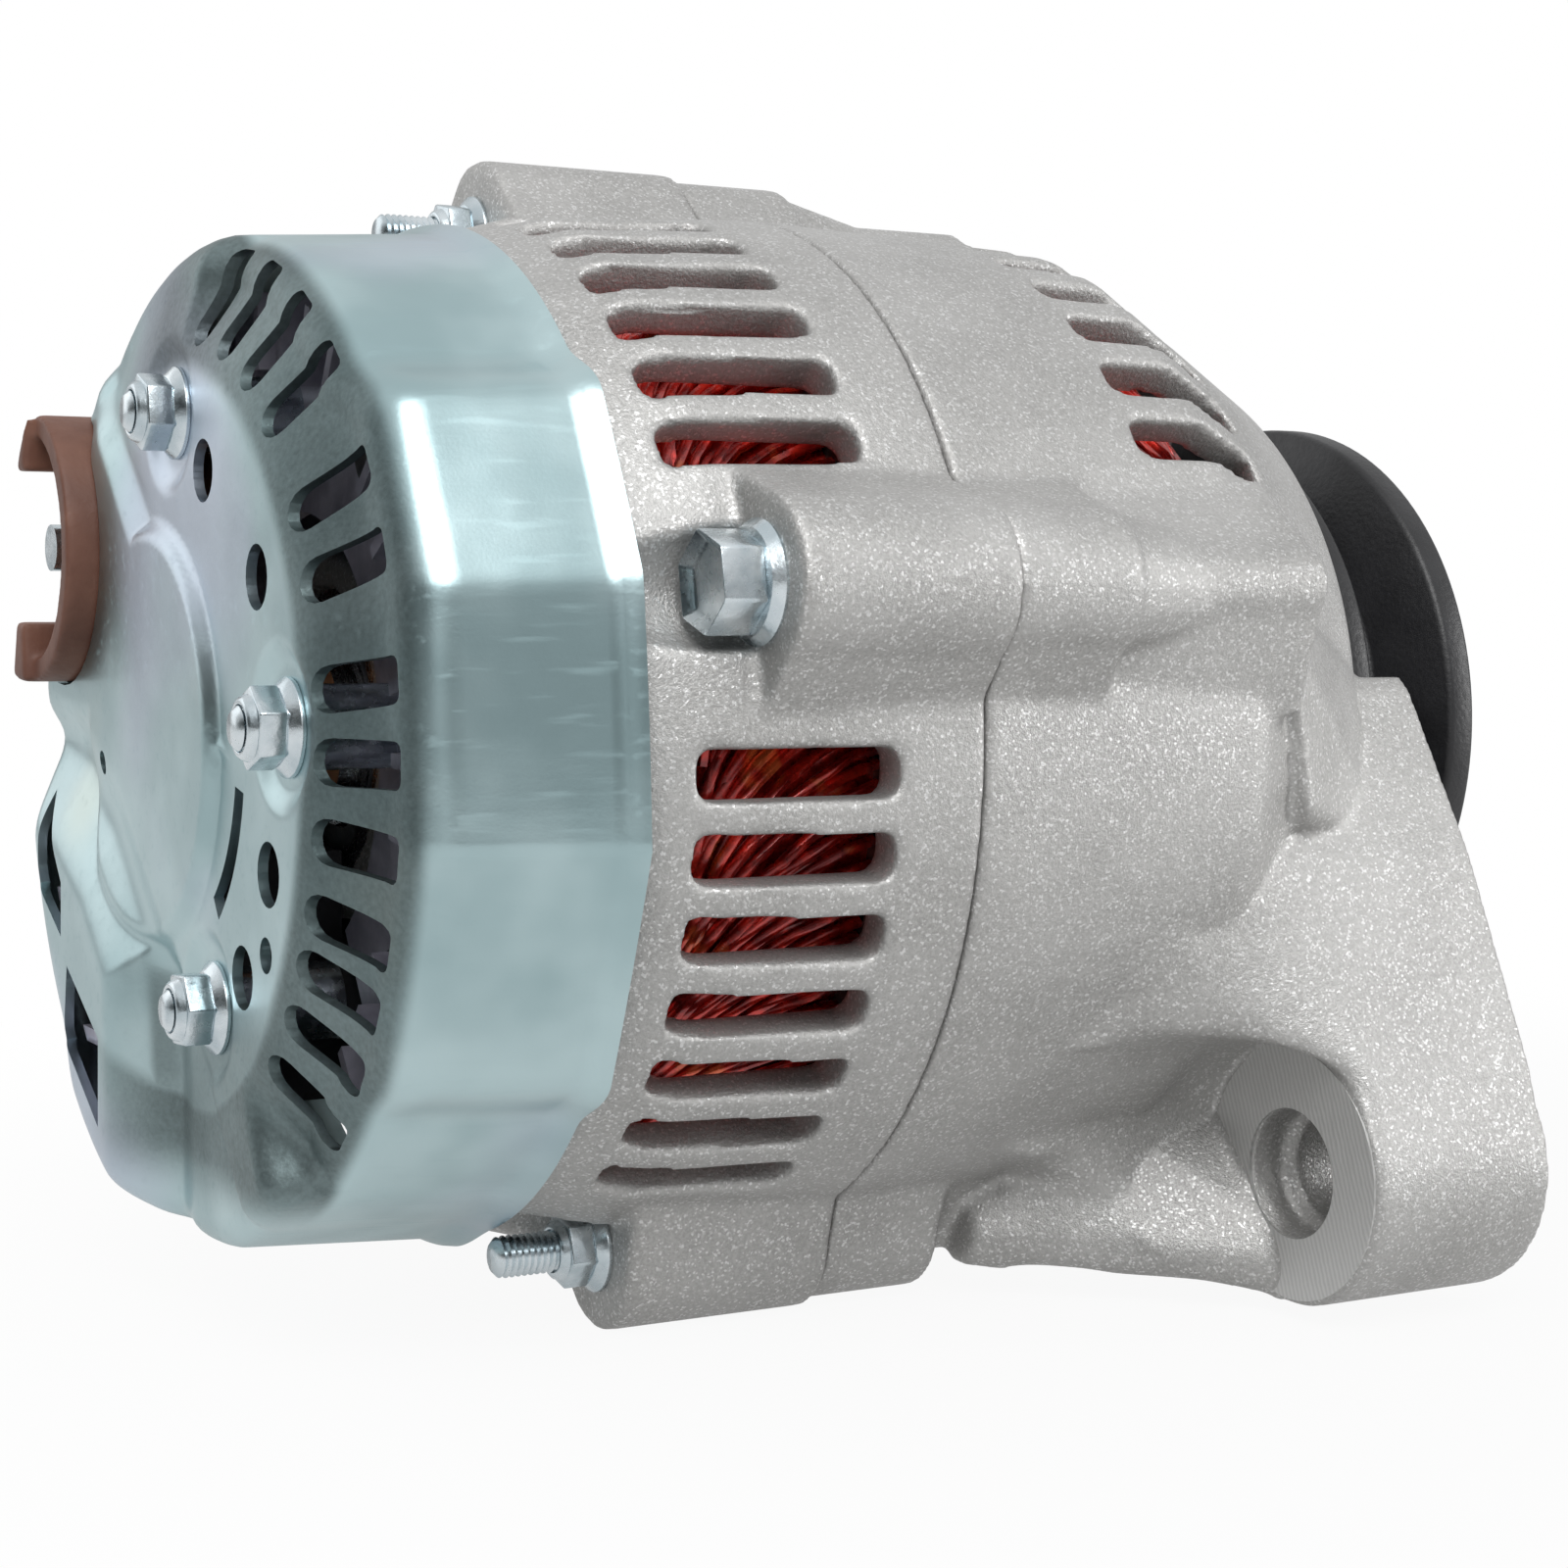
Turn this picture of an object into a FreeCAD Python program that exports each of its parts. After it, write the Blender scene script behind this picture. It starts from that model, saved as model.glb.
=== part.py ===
import FreeCAD
import Part
import math
import os

# Belt driven alternator with internal fans and a stamped rear cover.
# Stations run along the shaft (X) from the parting plane of the two castings,
# positive towards the pulley. Angles are in the YZ plane, from +Y towards +Z.
# The finished part is shifted so that its origin lies on the shaft axis, in the
# mid plane of the belt groove.

vec = FreeCAD.Vector
centre_point = vec(0, 0, 0)
shaft_axis = vec(1, 0, 0)

# Clearances
running_gap = 0.05
bolt_gap = 0.2
brush_gap = 0.15
brush_to_ring = 0.3

# Castings
stator_seat_radius = 59.5
stator_wall = 4.5
parting_radius = stator_seat_radius + stator_wall
casting_wall = 4.2
draft_drop = 1.5
rear_end = -40.5
rear_wall = 4.0
rear_shoulder_start = -30.0
rear_shoulder_drop = 4.5
rear_shoulder_radius = parting_radius - rear_shoulder_drop
rear_corner = 6.0
drive_cone_start = 39.0
drive_cone_end = 65.0
drive_cone_drop = 16.0
drive_cone_radius = parting_radius - drive_cone_drop
drive_face = 67.0
front_wall = 3.5
stator_shoulder = 1.6
inlet_rim = 7.5
inlet_first = 15.0
inlet_count = 12
inlet_span = 18.0
outlet_first = 22.5
outlet_count = 8
outlet_span = 24.0
outlet_rim = 1.0

# Vent windows in the castings
window_width = 5.4
window_corner = 1.6
window_cut_depth = 14.0
drive_window_cut_depth = 20.0
window_cut_reach = 11.0
rear_window_start = -34.0
rear_window_end = -10.4
drive_window_start = 28.0
drive_window_end = 50.0
window_pitch = 8.45
windows_per_side = 7
upper_first_window = 97.5
lower_first_window = 182.4
far_lower_first_window = 271.0
far_upper_first_window = 358.5
drive_windows_per_side = 6
drive_upper_first_window = 102.4
drive_far_lower_first_window = 273.0
drive_far_upper_first_window = 360.0
drive_window_pitch = 8.7

# Through bolts and studs that clamp the castings
bolt_circle = parting_radius
bolt_angles = (164.0, 340.0)
stud_angles = (76.0, 252.0)
rear_boss_radius = 10.0
rear_boss_face = -27.0
drive_boss_radius = 9.2
drive_boss_step = 16.0
drive_rib_radius = 5.2
drive_rib_end = 45.0
bolt_radius = 3.0
bolt_end = 34.0
bolt_head_flats = 10.0
bolt_head_height = 5.4
bolt_flange_height = 1.6
bolt_flange_radius = 6.8
bolt_socket_radius = 3.4
bolt_socket_depth = 1.6
boss_web_spread = 14.0
boss_web_root = 2.5
boss_web_turn = 50.0
boss_pad_radius = 10.5
boss_pad_inner = bolt_circle - 8.5
stud_radius = 2.5
stud_end = 20.0
stud_length = 60.0
nut_flats = 8.0
nut_flange_radius = 5.4
nut_flange_height = 1.3
nut_height = 5.2
nut_collar_height = 1.4
nut_collar_radius = 3.4

# Pivot foot and adjusting ear
pivot_angle = 223.32
pivot_reach = parting_radius + 13.25
pivot_y = pivot_reach * math.cos(math.radians(pivot_angle))
pivot_z = pivot_reach * math.sin(math.radians(pivot_angle))
pivot_boss_radius = 16.0
pivot_face_room = 1.0
pivot_rear_face = 48.7
pivot_front_face = 75.5
pivot_counterbore_radius = 7.9
pivot_counterbore_depth = 5.5
pivot_bore_radius = 6.25
arm_back = 50.0
arm_blend_start = 6.0
# Angle, and distance from the shaft as a share of the parting radius
arm_points = (
    (160.6, 0.613), (173.8, 0.723), (194.6, 0.928), (210.3, 1.240),
    (215.0, 1.363), (226.3, 1.448), (233.2, 1.357), (249.4, 1.068),
)
arm_steps = (0.0, 0.45, 0.75, 1.0)
pulley_room_radius = 44.0
pulley_room_start = 68.0
ear_angle = 43.0
ear_circle = parting_radius + 5.5
ear_root_depth = 24.0
ear_radius = 9.5
ear_back = 46.0
ear_front = 60.0
ear_hole_radius = 3.4

# Rotor, shaft and bearings
shaft_radius = 9.5
shaft_rear_end = -69.0
rear_seat_start = -54.0
rear_bearing_start = -52.0
rear_bearing_end = -41.0
rear_bearing_bore = 7.5
rear_bearing_outer = 17.5
front_bearing_start = 50.0
front_bearing_end = 64.0
front_bearing_bore = 8.5
front_bearing_outer = 23.5
race_thickness = 3.3
ball_count = 7
slip_seat_radius = 5.0
thread_start = 88.0
thread_radius = 8.0
shaft_front_end = 101.0
front_hub_radius = 33.0
rear_hub_radius = 22.0
shaft_hole_clearance = 2.5
seal_inset = 0.8
seal_thickness = 0.8

rotor_middle = 8.0
rotor_half_length = 23.0
pole_disc = 8.0
pole_core_radius = 17.0
air_gap = 0.7
stator_depth = 13.5
stator_bore = stator_seat_radius - stator_depth
rotor_radius = stator_bore - air_gap
claw_inner = rotor_radius - 6.8
claw_count = 6
claw_root_width = 20.0
claw_tip_width = 9.0
claw_tip_gap = 5.0
claw_tip_inner = rotor_radius - 3.8
pole_disc_radius = claw_inner - 4.5
claw_root_overlap = 6.0
claw_overreach = 3.0
bobbin_wall = 1.5
bobbin_radius = pole_disc_radius - 0.6
coil_inset = 1.0
fan_plate = 1.2
fan_radius = rotor_radius - 1.8
fan_plate_radius = fan_radius - 3.5
fan_blade_inner = 29.0
fan_blade_height = 6.8
fan_blade_thickness = 1.2
fan_blade_lean = 28.0
fan_blades = 11

slip_sleeve_radius = 8.0
slip_ring_radius = 10.5
slip_ring_width = 5.6
slip_ring_rear = -64.5
slip_ring_front = -57.5

# Stator
stator_rear = -8.0
stator_front = 24.0
stator_slots = 36
slot_mouth = 2.0
slot_width = 3.0
slot_depth = 8.5
winding_inner = stator_bore + 1.5
winding_outer = stator_seat_radius - 4.5
winding_reach_rear = 23.0
winding_reach_front = 19.0
winding_round = 3.5

# Pulley
belt_plane = 80.7
pulley_radius = 40.6
pulley_half_width = 10.5
groove_half_top = 6.5
groove_depth = 11.0
groove_half_angle = 18.0
pulley_rim = 4.0
pulley_web_half = 3.0
pulley_hub_radius = 17.0
pulley_hub_front = 86.0
spacer_radius = 12.5
lock_washer_radius = 13.0
lock_washer_thickness = 2.4
shaft_nut_flats = 24.0
shaft_nut_height = 9.5

# Bearing retainer
retainer_thickness = 2.5
retainer_inner = 20.5
retainer_screw_circle = 28.5
retainer_screws = 4
retainer_screw_radius = 2.5
retainer_screw_length = 9.0
retainer_head_radius = 4.4
retainer_head_height = 2.8

# Rear cover
cover_face = -72.4
cover_nut_level = -71.0
cover_plateau_centre = 9.0
cover_plateau_radius = 24.5
cover_plateau_slope = 1.2
cover_wall_radius = parting_radius - 4.2
cover_slot_outer_radius = cover_wall_radius - 3.8
cover_ring_radius = cover_slot_outer_radius - 12.5
cover_slot_outer_level = -65.0
cover_corner_level = -60.5
cover_corner_round = 3.0
cover_fold_round = 1.5
cover_sheet = 1.2
cover_near_reach = cover_wall_radius + 2.6
cover_near_start = 143.5
cover_near_end = 214.0
cover_facet_start = 163.4
cover_facet_end = 189.0
cover_facet_tilt = 4.0
cover_shoulder_reach = cover_wall_radius + 0.4
cover_shoulder_inner = 20.0
cover_shoulders = ((62.0, 97.0), (236.0, 290.0))
cover_edge_round = 5.0
cover_edge_taper = 1.5
cover_seat_radius = 6.6
cover_slot_angles = (99, 110, 121, 132, 148, 158, 172, 181, 191, 201, 209, 218, 228)
cover_slot_width = 5.0
cover_slot_inner = cover_ring_radius
cover_slot_outer = cover_slot_outer_radius + 0.5
cover_slot_corner = 1.0
cover_slot_end_round = 2.4
cover_punch_start = -78.0
cover_slot_punch = 17.0
cover_hole_punch = 11.0
cover_nut_places = ((2.0, 37.8), (-36.8, 2.4), (-10.5, -30.5))
cover_holes = ((-11.1, 30.5), (-29.6, 18.3), (-32.5, -13.5), (-23.3, -25.6))
cover_hole_radius = 3.6
cover_small_holes = ((-31.4, -22.3, 2.0), (27.1, -4.1, 1.5))
cover_crescent = (22.0, 25.0, 192.0, 233.0)
cover_stud_end = -77.6
lobe_face = -75.0
lobe_reach = cover_wall_radius + 0.6
lobe_fold = ((62.0, -1.0), (38.7, -4.8), (22.9, -12.6), (8.5, -24.6), (7.2, -40.9))
lobe_fold_round = 3.0
lobe_windows = (
    ((38.2, -19.9), (48.5, -8.5), (50.3, -20.9), (38.6, -26.9)),
    ((21.5, -37.9), (35.9, -30.4), (37.9, -40.1), (22.1, -49.0)),
)
lobe_window_corner = 1.5
lobe_window_punch = 6.0
terminal_mouth = (-9.0, 12.0)

# Rectifier, brush gear, regulator and output terminal
stud_pad_radius = 5.5
stud_pad_level = -42.5
negative_plate_thickness = 2.0
plate_spacing = 9.0
positive_plate_thickness = 2.5
plate_inner = 26.5
plate_outer = cover_slot_outer_radius - 4.0
plate_hole_radius = 3.4
negative_plate_span = (38.0, 236.0)
positive_plate_span = (12.0, 236.0)
diode_radius = 5.0
diode_circle = 41.0
negative_diode_angles = (60.0, 112.0, 158.0, 208.0)
positive_diode_angles = (70.0, 126.0, 146.0, 222.0)
fin_count = 17
first_fin = 70.0
fin_end_gap = 4.0
lead_radius = 0.7
fin_thickness = 1.6
fin_inner = 43.0
fin_height = 5.0
bush_radius = 4.6
output_y = 44.5
output_z = 23.0
output_ear_radius = 6.5
output_shank_radius = 3.2
output_stud_radius = 3.0
output_stud_tip = -74.0
output_head_height = 4.0
output_nut_flats = 10.0
output_nut_height = 5.5
insulator_radius = 17.3
insulator_wall = 3.0
insulator_floor = 3.5
insulator_rim = -76.5
insulator_horn = -78.0
insulator_span = (82.0, 287.0)
insulator_horn_span = 20.0
insulator_horn_depth = 7.5
insulator_gap = 0.5
insulator_reach = cover_wall_radius - 2.8
brush_width = 5.0
brush_depth = 6.5
brush_tail = -26.5
holder_rear = -68.6
holder_front = -53.0
holder_half_width = 5.6
holder_top = -13.5
holder_bottom = -42.0
holder_floor = 2.0
holder_ear_thickness = 3.0
spring_wire = 0.45
spring_radius = 1.9
spring_turns = 5
regulator_front = -40.5
regulator_rear = -62.0
regulator_inner = 27.0
regulator_outer = 50.0
regulator_span = (290.0, 352.0)
sink_base = 3.0
sink_gap = 1.0
sink_rear = lobe_face + cover_sheet + sink_gap
sink_base_inset = 8.0
sink_reach = 3.0
sink_fin_thickness = 1.8
sink_fins = 7
sink_pitch = 5.6
sink_first_fin = -12.0


def place(x, radius, angle):
    """Point at a station, a distance from the shaft and an angle."""
    turn = math.radians(angle)
    return vec(x, radius * math.cos(turn), radius * math.sin(turn))


def rounded_face(corners):
    """Flat face inside an outline; every corner is a point and a corner radius."""
    spans = []
    for index, (corner, radius) in enumerate(corners):
        if radius == 0:
            spans.append((corner, corner, None))
            continue
        back = (corners[index - 1][0] - corner).normalize()
        ahead = (corners[(index + 1) % len(corners)][0] - corner).normalize()
        half = back.getAngle(ahead) / 2
        reach = radius / math.tan(half)
        middle = (back + ahead).normalize() * (radius / math.sin(half) - radius)
        spans.append((corner + back * reach, corner + ahead * reach, corner + middle))
    edges = []
    for index, (start, end, middle) in enumerate(spans):
        if middle:
            edges.append(Part.Arc(start, middle, end).toShape())
        following = spans[(index + 1) % len(spans)][0]
        if end.distanceToPoint(following) > 1e-6:
            edges.append(Part.LineSegment(end, following).toShape())
    return Part.Face(Part.Wire(edges))


def turned_solid(corners):
    """Solid of revolution; corners are station, radius and an optional corner radius."""
    outline = [(vec(c[0], c[1], 0), c[2] if len(c) > 2 else 0) for c in corners]
    return rounded_face(outline).revolve(centre_point, shaft_axis, 360)


def rod(start, end, radius, y=0.0, z=0.0):
    """Cylinder along the shaft direction."""
    return Part.makeCylinder(radius, end - start, vec(start, y, z), shaft_axis)


def tube(start, end, outer, inner, y=0.0, z=0.0):
    return rod(start, end, outer, y, z).cut(rod(start, end, inner, y, z))


def block(x0, x1, y0, y1, z0, z1):
    return Part.makeBox(x1 - x0, y1 - y0, z1 - z0, vec(x0, y0, z0))


def swung(shape, angle):
    """The shape turned about the shaft."""
    result = shape.copy()
    result.rotate(centre_point, shaft_axis, angle)
    return result


def around(shape, count, first=0.0, pitch=None):
    """Copies of the shape in a ring about the shaft."""
    step = 360.0 / count if pitch is None else pitch
    return [swung(shape, first + step * index) for index in range(count)]


def hexagon(start, end, flats, y=0.0, z=0.0):
    """Hexagonal prism along the shaft direction."""
    corner = flats / math.sqrt(3)
    points = []
    for index in range(7):
        point = place(start, corner, 60 * index + 30)
        points.append(point + vec(0, y, z))
    face = Part.Face(Part.makePolygon(points))
    return face.extrude(vec(end - start, 0, 0))


def sector(start, end, inner, outer, first, last):
    """Piece of a ring between two angles."""
    outline = [(start, inner), (end, inner), (end, outer), (start, outer)]
    corners = [(vec(x, r, 0), 0) for x, r in outline]
    face = rounded_face(corners)
    return swung(face.revolve(centre_point, shaft_axis, last - first), first)


def radial_slot(x0, x1, width, inner, outer, corner):
    """Radial prism with rounded corners, at angle zero, that cuts a vent window."""
    half = width / 2
    outline = [
        (vec(x0, inner, -half), corner),
        (vec(x1, inner, -half), corner),
        (vec(x1, inner, half), corner),
        (vec(x0, inner, half), corner),
    ]
    return rounded_face(outline).extrude(vec(0, outer - inner, 0))


def flange_nut(seat, direction, stud, y, z):
    """Flange nut with a plain collar; direction is -1 where it stands rearwards."""
    flange_end = seat + direction * nut_flange_height
    hex_end = seat + direction * nut_height
    collar_end = hex_end + direction * nut_collar_height
    body = rod(min(seat, flange_end), max(seat, flange_end), nut_flange_radius, y, z)
    body = body.fuse(hexagon(min(flange_end, hex_end), max(flange_end, hex_end), nut_flats, y, z))
    body = body.fuse(rod(min(hex_end, collar_end), max(hex_end, collar_end), nut_collar_radius, y, z))
    return body.cut(rod(min(seat, collar_end), max(seat, collar_end), stud + running_gap, y, z))


def drive_outer_radius(x):
    """Outer radius of the drive end casting's cone at a station."""
    slope = (drive_cone_radius - parting_radius + draft_drop) / (drive_cone_end - drive_cone_start)
    return parting_radius - draft_drop + slope * (x - drive_cone_start)


def stud_places(angles):
    """Centre points, on the bolt circle, of fasteners at the given angles."""
    return [place(0, bolt_circle, angle) for angle in angles]


def bolt_boss(start, end, radius, angle):
    """Round boss on the bolt circle with a web on both sides that falls to the shell."""
    middle = place(start, bolt_circle, angle)
    root = parting_radius - boss_web_root
    crest = bolt_circle + radius * math.cos(math.radians(boss_web_turn))
    half = math.degrees(math.asin(radius * math.sin(math.radians(boss_web_turn)) / crest))
    outline = [
        place(start, root, angle - boss_web_spread),
        place(start, crest, angle - half),
        place(start, crest, angle + half),
        place(start, root, angle + boss_web_spread),
    ]
    web = Part.Face(Part.makePolygon(outline + outline[:1])).extrude(vec(end - start, 0, 0))
    return web.fuse(rod(start, end, radius, middle.y, middle.z))


def rear_casting():
    outer_end = parting_radius - draft_drop
    shell = turned_solid([
        (0, 0),
        (0, parting_radius),
        (rear_shoulder_start, outer_end, rear_corner),
        (rear_end, rear_shoulder_radius, 1.5),
        (rear_end, 0),
    ])
    for angle in bolt_angles + stud_angles:
        shell = shell.fuse(bolt_boss(rear_boss_face, 0, rear_boss_radius, angle))
    shell = shell.fuse(turned_solid([
        (rear_end, 0),
        (rear_bearing_start - 1, 0),
        (rear_bearing_start - 1, rear_hub_radius, 1.5),
        (rear_end, rear_hub_radius + 1),
    ]))
    inside = stator_seat_radius - stator_shoulder
    inner_rear = rear_end + rear_wall
    shell = shell.cut(turned_solid([
        (0, 0),
        (0, stator_seat_radius),
        (stator_rear, stator_seat_radius),
        (stator_rear, inside),
        (rear_shoulder_start - 1, inside, 5),
        (inner_rear, inside - 3.5, 1.5),
        (inner_rear, 0),
    ]))
    shell = shell.cut(rod(rear_bearing_start - 1, rear_bearing_end, rear_bearing_outer))
    shell = shell.cut(rod(rear_bearing_end, inner_rear, shaft_radius + shaft_hole_clearance))
    windows = []
    slot = radial_slot(rear_window_start, rear_window_end, window_width, parting_radius - window_cut_depth,
                       parting_radius + window_cut_reach, window_corner)
    for first in (upper_first_window, lower_first_window, far_lower_first_window, far_upper_first_window):
        windows += around(slot, windows_per_side, first, window_pitch)
    inlet_outer = rear_shoulder_radius - inlet_rim
    air_inlet = sector(rear_end - 0.5, inner_rear + 0.5, rear_hub_radius + 4, inlet_outer,
                       -inlet_span / 2, inlet_span / 2)
    windows += around(air_inlet, inlet_count, inlet_first)
    shell = shell.cut(windows)
    for y, z in cover_nut_places:
        shell = shell.fuse(rod(stud_pad_level, inner_rear, stud_pad_radius, y, z))
        shell = shell.cut(rod(stud_pad_level, inner_rear, stud_radius + running_gap, y, z))
    for spot in stud_places(bolt_angles + stud_angles):
        pad = rod(rear_end, rear_boss_face, boss_pad_radius, spot.y, spot.z)
        shell = shell.fuse(pad.common(tube(rear_end, rear_boss_face, inside + 2, boss_pad_inner)))
        shell = shell.cut(rod(rear_end - 1, rear_boss_face, bolt_flange_radius + bolt_gap, spot.y, spot.z))
        shell = shell.cut(rod(rear_boss_face, 0, bolt_radius + bolt_gap, spot.y, spot.z))
    return shell


def arm_outline(x, spread):
    """Closed outline of the foot's arm; spread is 0 inside the shell and 1 at the foot."""
    points = []
    for angle, share in arm_points:
        reach = share * parting_radius
        root = min(reach, parting_radius - casting_wall)
        points.append(place(x, root + (reach - root) * spread, angle))
    points.append(points[0])
    return Part.makePolygon(points)


def drive_casting():
    flank = parting_radius - draft_drop
    shell = turned_solid([
        (0, 0),
        (0, parting_radius),
        (drive_cone_start, flank, 8),
        (drive_cone_end, drive_cone_radius, 1.5),
        (drive_face, drive_cone_radius - 3, 1),
        (drive_face, 0),
    ])
    for angle in bolt_angles + stud_angles:
        shell = shell.fuse(bolt_boss(0, drive_boss_step, drive_boss_radius, angle))
        shell = shell.fuse(bolt_boss(drive_boss_step, drive_rib_end, drive_rib_radius, angle))
    sections = []
    for step in arm_steps:
        sections.append(arm_outline(arm_blend_start + step * (arm_back - arm_blend_start), step * step))
    blend = Part.makeLoft(sections, True, True)
    face_room = rod(arm_blend_start, pivot_rear_face, pivot_boss_radius + pivot_face_room, pivot_y, pivot_z)
    shell = shell.fuse(blend.cut(face_room))
    arm = Part.Face(arm_outline(arm_back, 1)).extrude(vec(pivot_front_face - arm_back, 0, 0))
    shell = shell.fuse(arm)
    shell = shell.fuse(rod(pivot_rear_face, pivot_front_face, pivot_boss_radius, pivot_y, pivot_z))
    ear_spot = place(0, ear_circle, ear_angle)
    ear = rod(ear_back, ear_front, ear_radius, ear_spot.y, ear_spot.z)
    root = block(ear_back, ear_front, parting_radius - ear_root_depth, ear_circle, -ear_radius, ear_radius)
    shell = shell.fuse([ear, swung(root, ear_angle)])
    inside = stator_seat_radius - stator_shoulder
    inner_front = drive_face - front_wall
    inner_cone = drive_outer_radius(inner_front) - casting_wall
    hollow = turned_solid([
        (0, 0),
        (0, stator_seat_radius),
        (stator_front, stator_seat_radius),
        (stator_front, inside),
        (drive_cone_start - 1, inside, 6),
        (inner_front, inner_cone, 2),
        (inner_front, front_hub_radius),
        (front_bearing_start, front_hub_radius),
        (front_bearing_start, 0),
    ])
    shell = shell.cut(hollow)
    shell = shell.cut(rod(pulley_room_start, pivot_front_face + 1, pulley_room_radius))
    shell = shell.cut(rod(front_bearing_start, front_bearing_end, front_bearing_outer))
    shell = shell.cut(rod(front_bearing_end, drive_face, spacer_radius + shaft_hole_clearance))
    windows = []
    slot = radial_slot(drive_window_start, drive_window_end, window_width,
                       parting_radius - drive_window_cut_depth, parting_radius + window_cut_reach, window_corner)
    for first in (drive_upper_first_window, drive_far_lower_first_window, drive_far_upper_first_window):
        windows += around(slot, drive_windows_per_side, first, drive_window_pitch)
    outlet = sector(inner_front - 0.5, drive_face + 0.5, front_hub_radius + outlet_rim, inner_cone - outlet_rim,
                    -outlet_span / 2, outlet_span / 2)
    windows += around(outlet, outlet_count, outlet_first)
    shell = shell.cut(windows)
    for spot in stud_places(bolt_angles):
        shell = shell.cut(rod(0, bolt_end + 1, bolt_radius + running_gap, spot.y, spot.z))
    for spot in stud_places(stud_angles):
        shell = shell.cut(rod(0, stud_end + 1, stud_radius + running_gap, spot.y, spot.z))
    screw_hole = rod(front_bearing_start, front_bearing_start + retainer_screw_length,
                     retainer_screw_radius + running_gap, retainer_screw_circle)
    shell = shell.cut(around(screw_hole, retainer_screws, 45))
    shell = shell.cut(rod(ear_back, ear_front, ear_hole_radius, ear_spot.y, ear_spot.z))
    shell = shell.cut(rod(pivot_rear_face, pivot_front_face, pivot_bore_radius, pivot_y, pivot_z))
    counterbore_end = pivot_rear_face + pivot_counterbore_depth
    return shell.cut(rod(pivot_rear_face, counterbore_end, pivot_counterbore_radius, pivot_y, pivot_z))


def drawn_in(points, inset):
    """Closed outline in the YZ plane, run anticlockwise, with every side moved inwards."""
    moved = []
    for index, point in enumerate(points):
        back = (point - points[index - 1]).normalize()
        ahead = (points[(index + 1) % len(points)] - point).normalize()
        normal = vec(0, -back.z - ahead.z, back.y + ahead.y)
        moved.append(point + normal * (inset / (1 + back.dot(ahead))))
    return moved


def lobe_prism(inset, start, end):
    """Raised part of the cover over the regulator, drawn in by the given amount."""
    first_y, first_z = lobe_fold[0]
    last_y = lobe_fold[-1][0]
    outer = 2 * lobe_reach
    points = [vec(start, y, z) for y, z in lobe_fold]
    points += [vec(start, last_y, -outer), vec(start, outer, -outer), vec(start, outer, first_z)]
    outline = [(point, lobe_fold_round) for point in drawn_in(points, inset)]
    lobe = rounded_face(outline).extrude(vec(end - start, 0, 0))
    return lobe.common(rounded_drum(start, end, lobe_reach - inset))


def rounded_drum(start, end, radius):
    """Solid drum, slightly tapered, with a rounded edge at its rear end."""
    return turned_solid([
        (start, 0),
        (start, radius),
        (end, radius - cover_edge_taper, cover_edge_round),
        (end, 0),
    ])


def cover_form(inset):
    """Solid outer form of the stamped cover, drawn in by the given amount."""
    wall = cover_wall_radius - inset
    level = cover_nut_level + inset
    base = turned_solid([
        (rear_end, 0),
        (rear_end, wall),
        (cover_corner_level, wall - cover_edge_taper, cover_corner_round),
        (cover_slot_outer_level + inset, cover_slot_outer_radius, cover_fold_round),
        (level, cover_ring_radius, cover_fold_round),
        (level, 0),
    ])
    rise = cover_nut_level - cover_face
    foot = cover_plateau_radius + cover_plateau_slope - inset
    plateau = Part.makeCone(foot, cover_plateau_radius - inset, rise,
                            vec(level, cover_plateau_centre, 0), -shaft_axis)
    near_reach = (cover_near_reach - inset) / math.cos(math.radians(cover_facet_tilt))
    lean = math.degrees(inset / cover_wall_radius)
    corners = [(vec(rear_end, 0, 0), 0)]
    for angle in (cover_near_start + lean, cover_facet_start, cover_facet_end, cover_near_end - lean):
        corners.append((place(rear_end, near_reach, angle), 0))
    near = rounded_face(corners).extrude(vec(cover_corner_level + inset - rear_end, 0, 0))
    parts = [near, plateau, lobe_prism(inset, rear_end, lobe_face + inset)]
    drum = rounded_drum(rear_end, level, cover_shoulder_reach - inset)
    for first, last in cover_shoulders:
        shoulder = sector(level, rear_end, cover_shoulder_inner, cover_shoulder_reach,
                          first + lean, last - lean)
        parts.append(shoulder.common(drum))
    form = base.fuse(parts)
    for y, z in cover_nut_places:
        form = form.cut(rod(lobe_face - 1, level, cover_seat_radius + inset, y, z))
    return form


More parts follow.
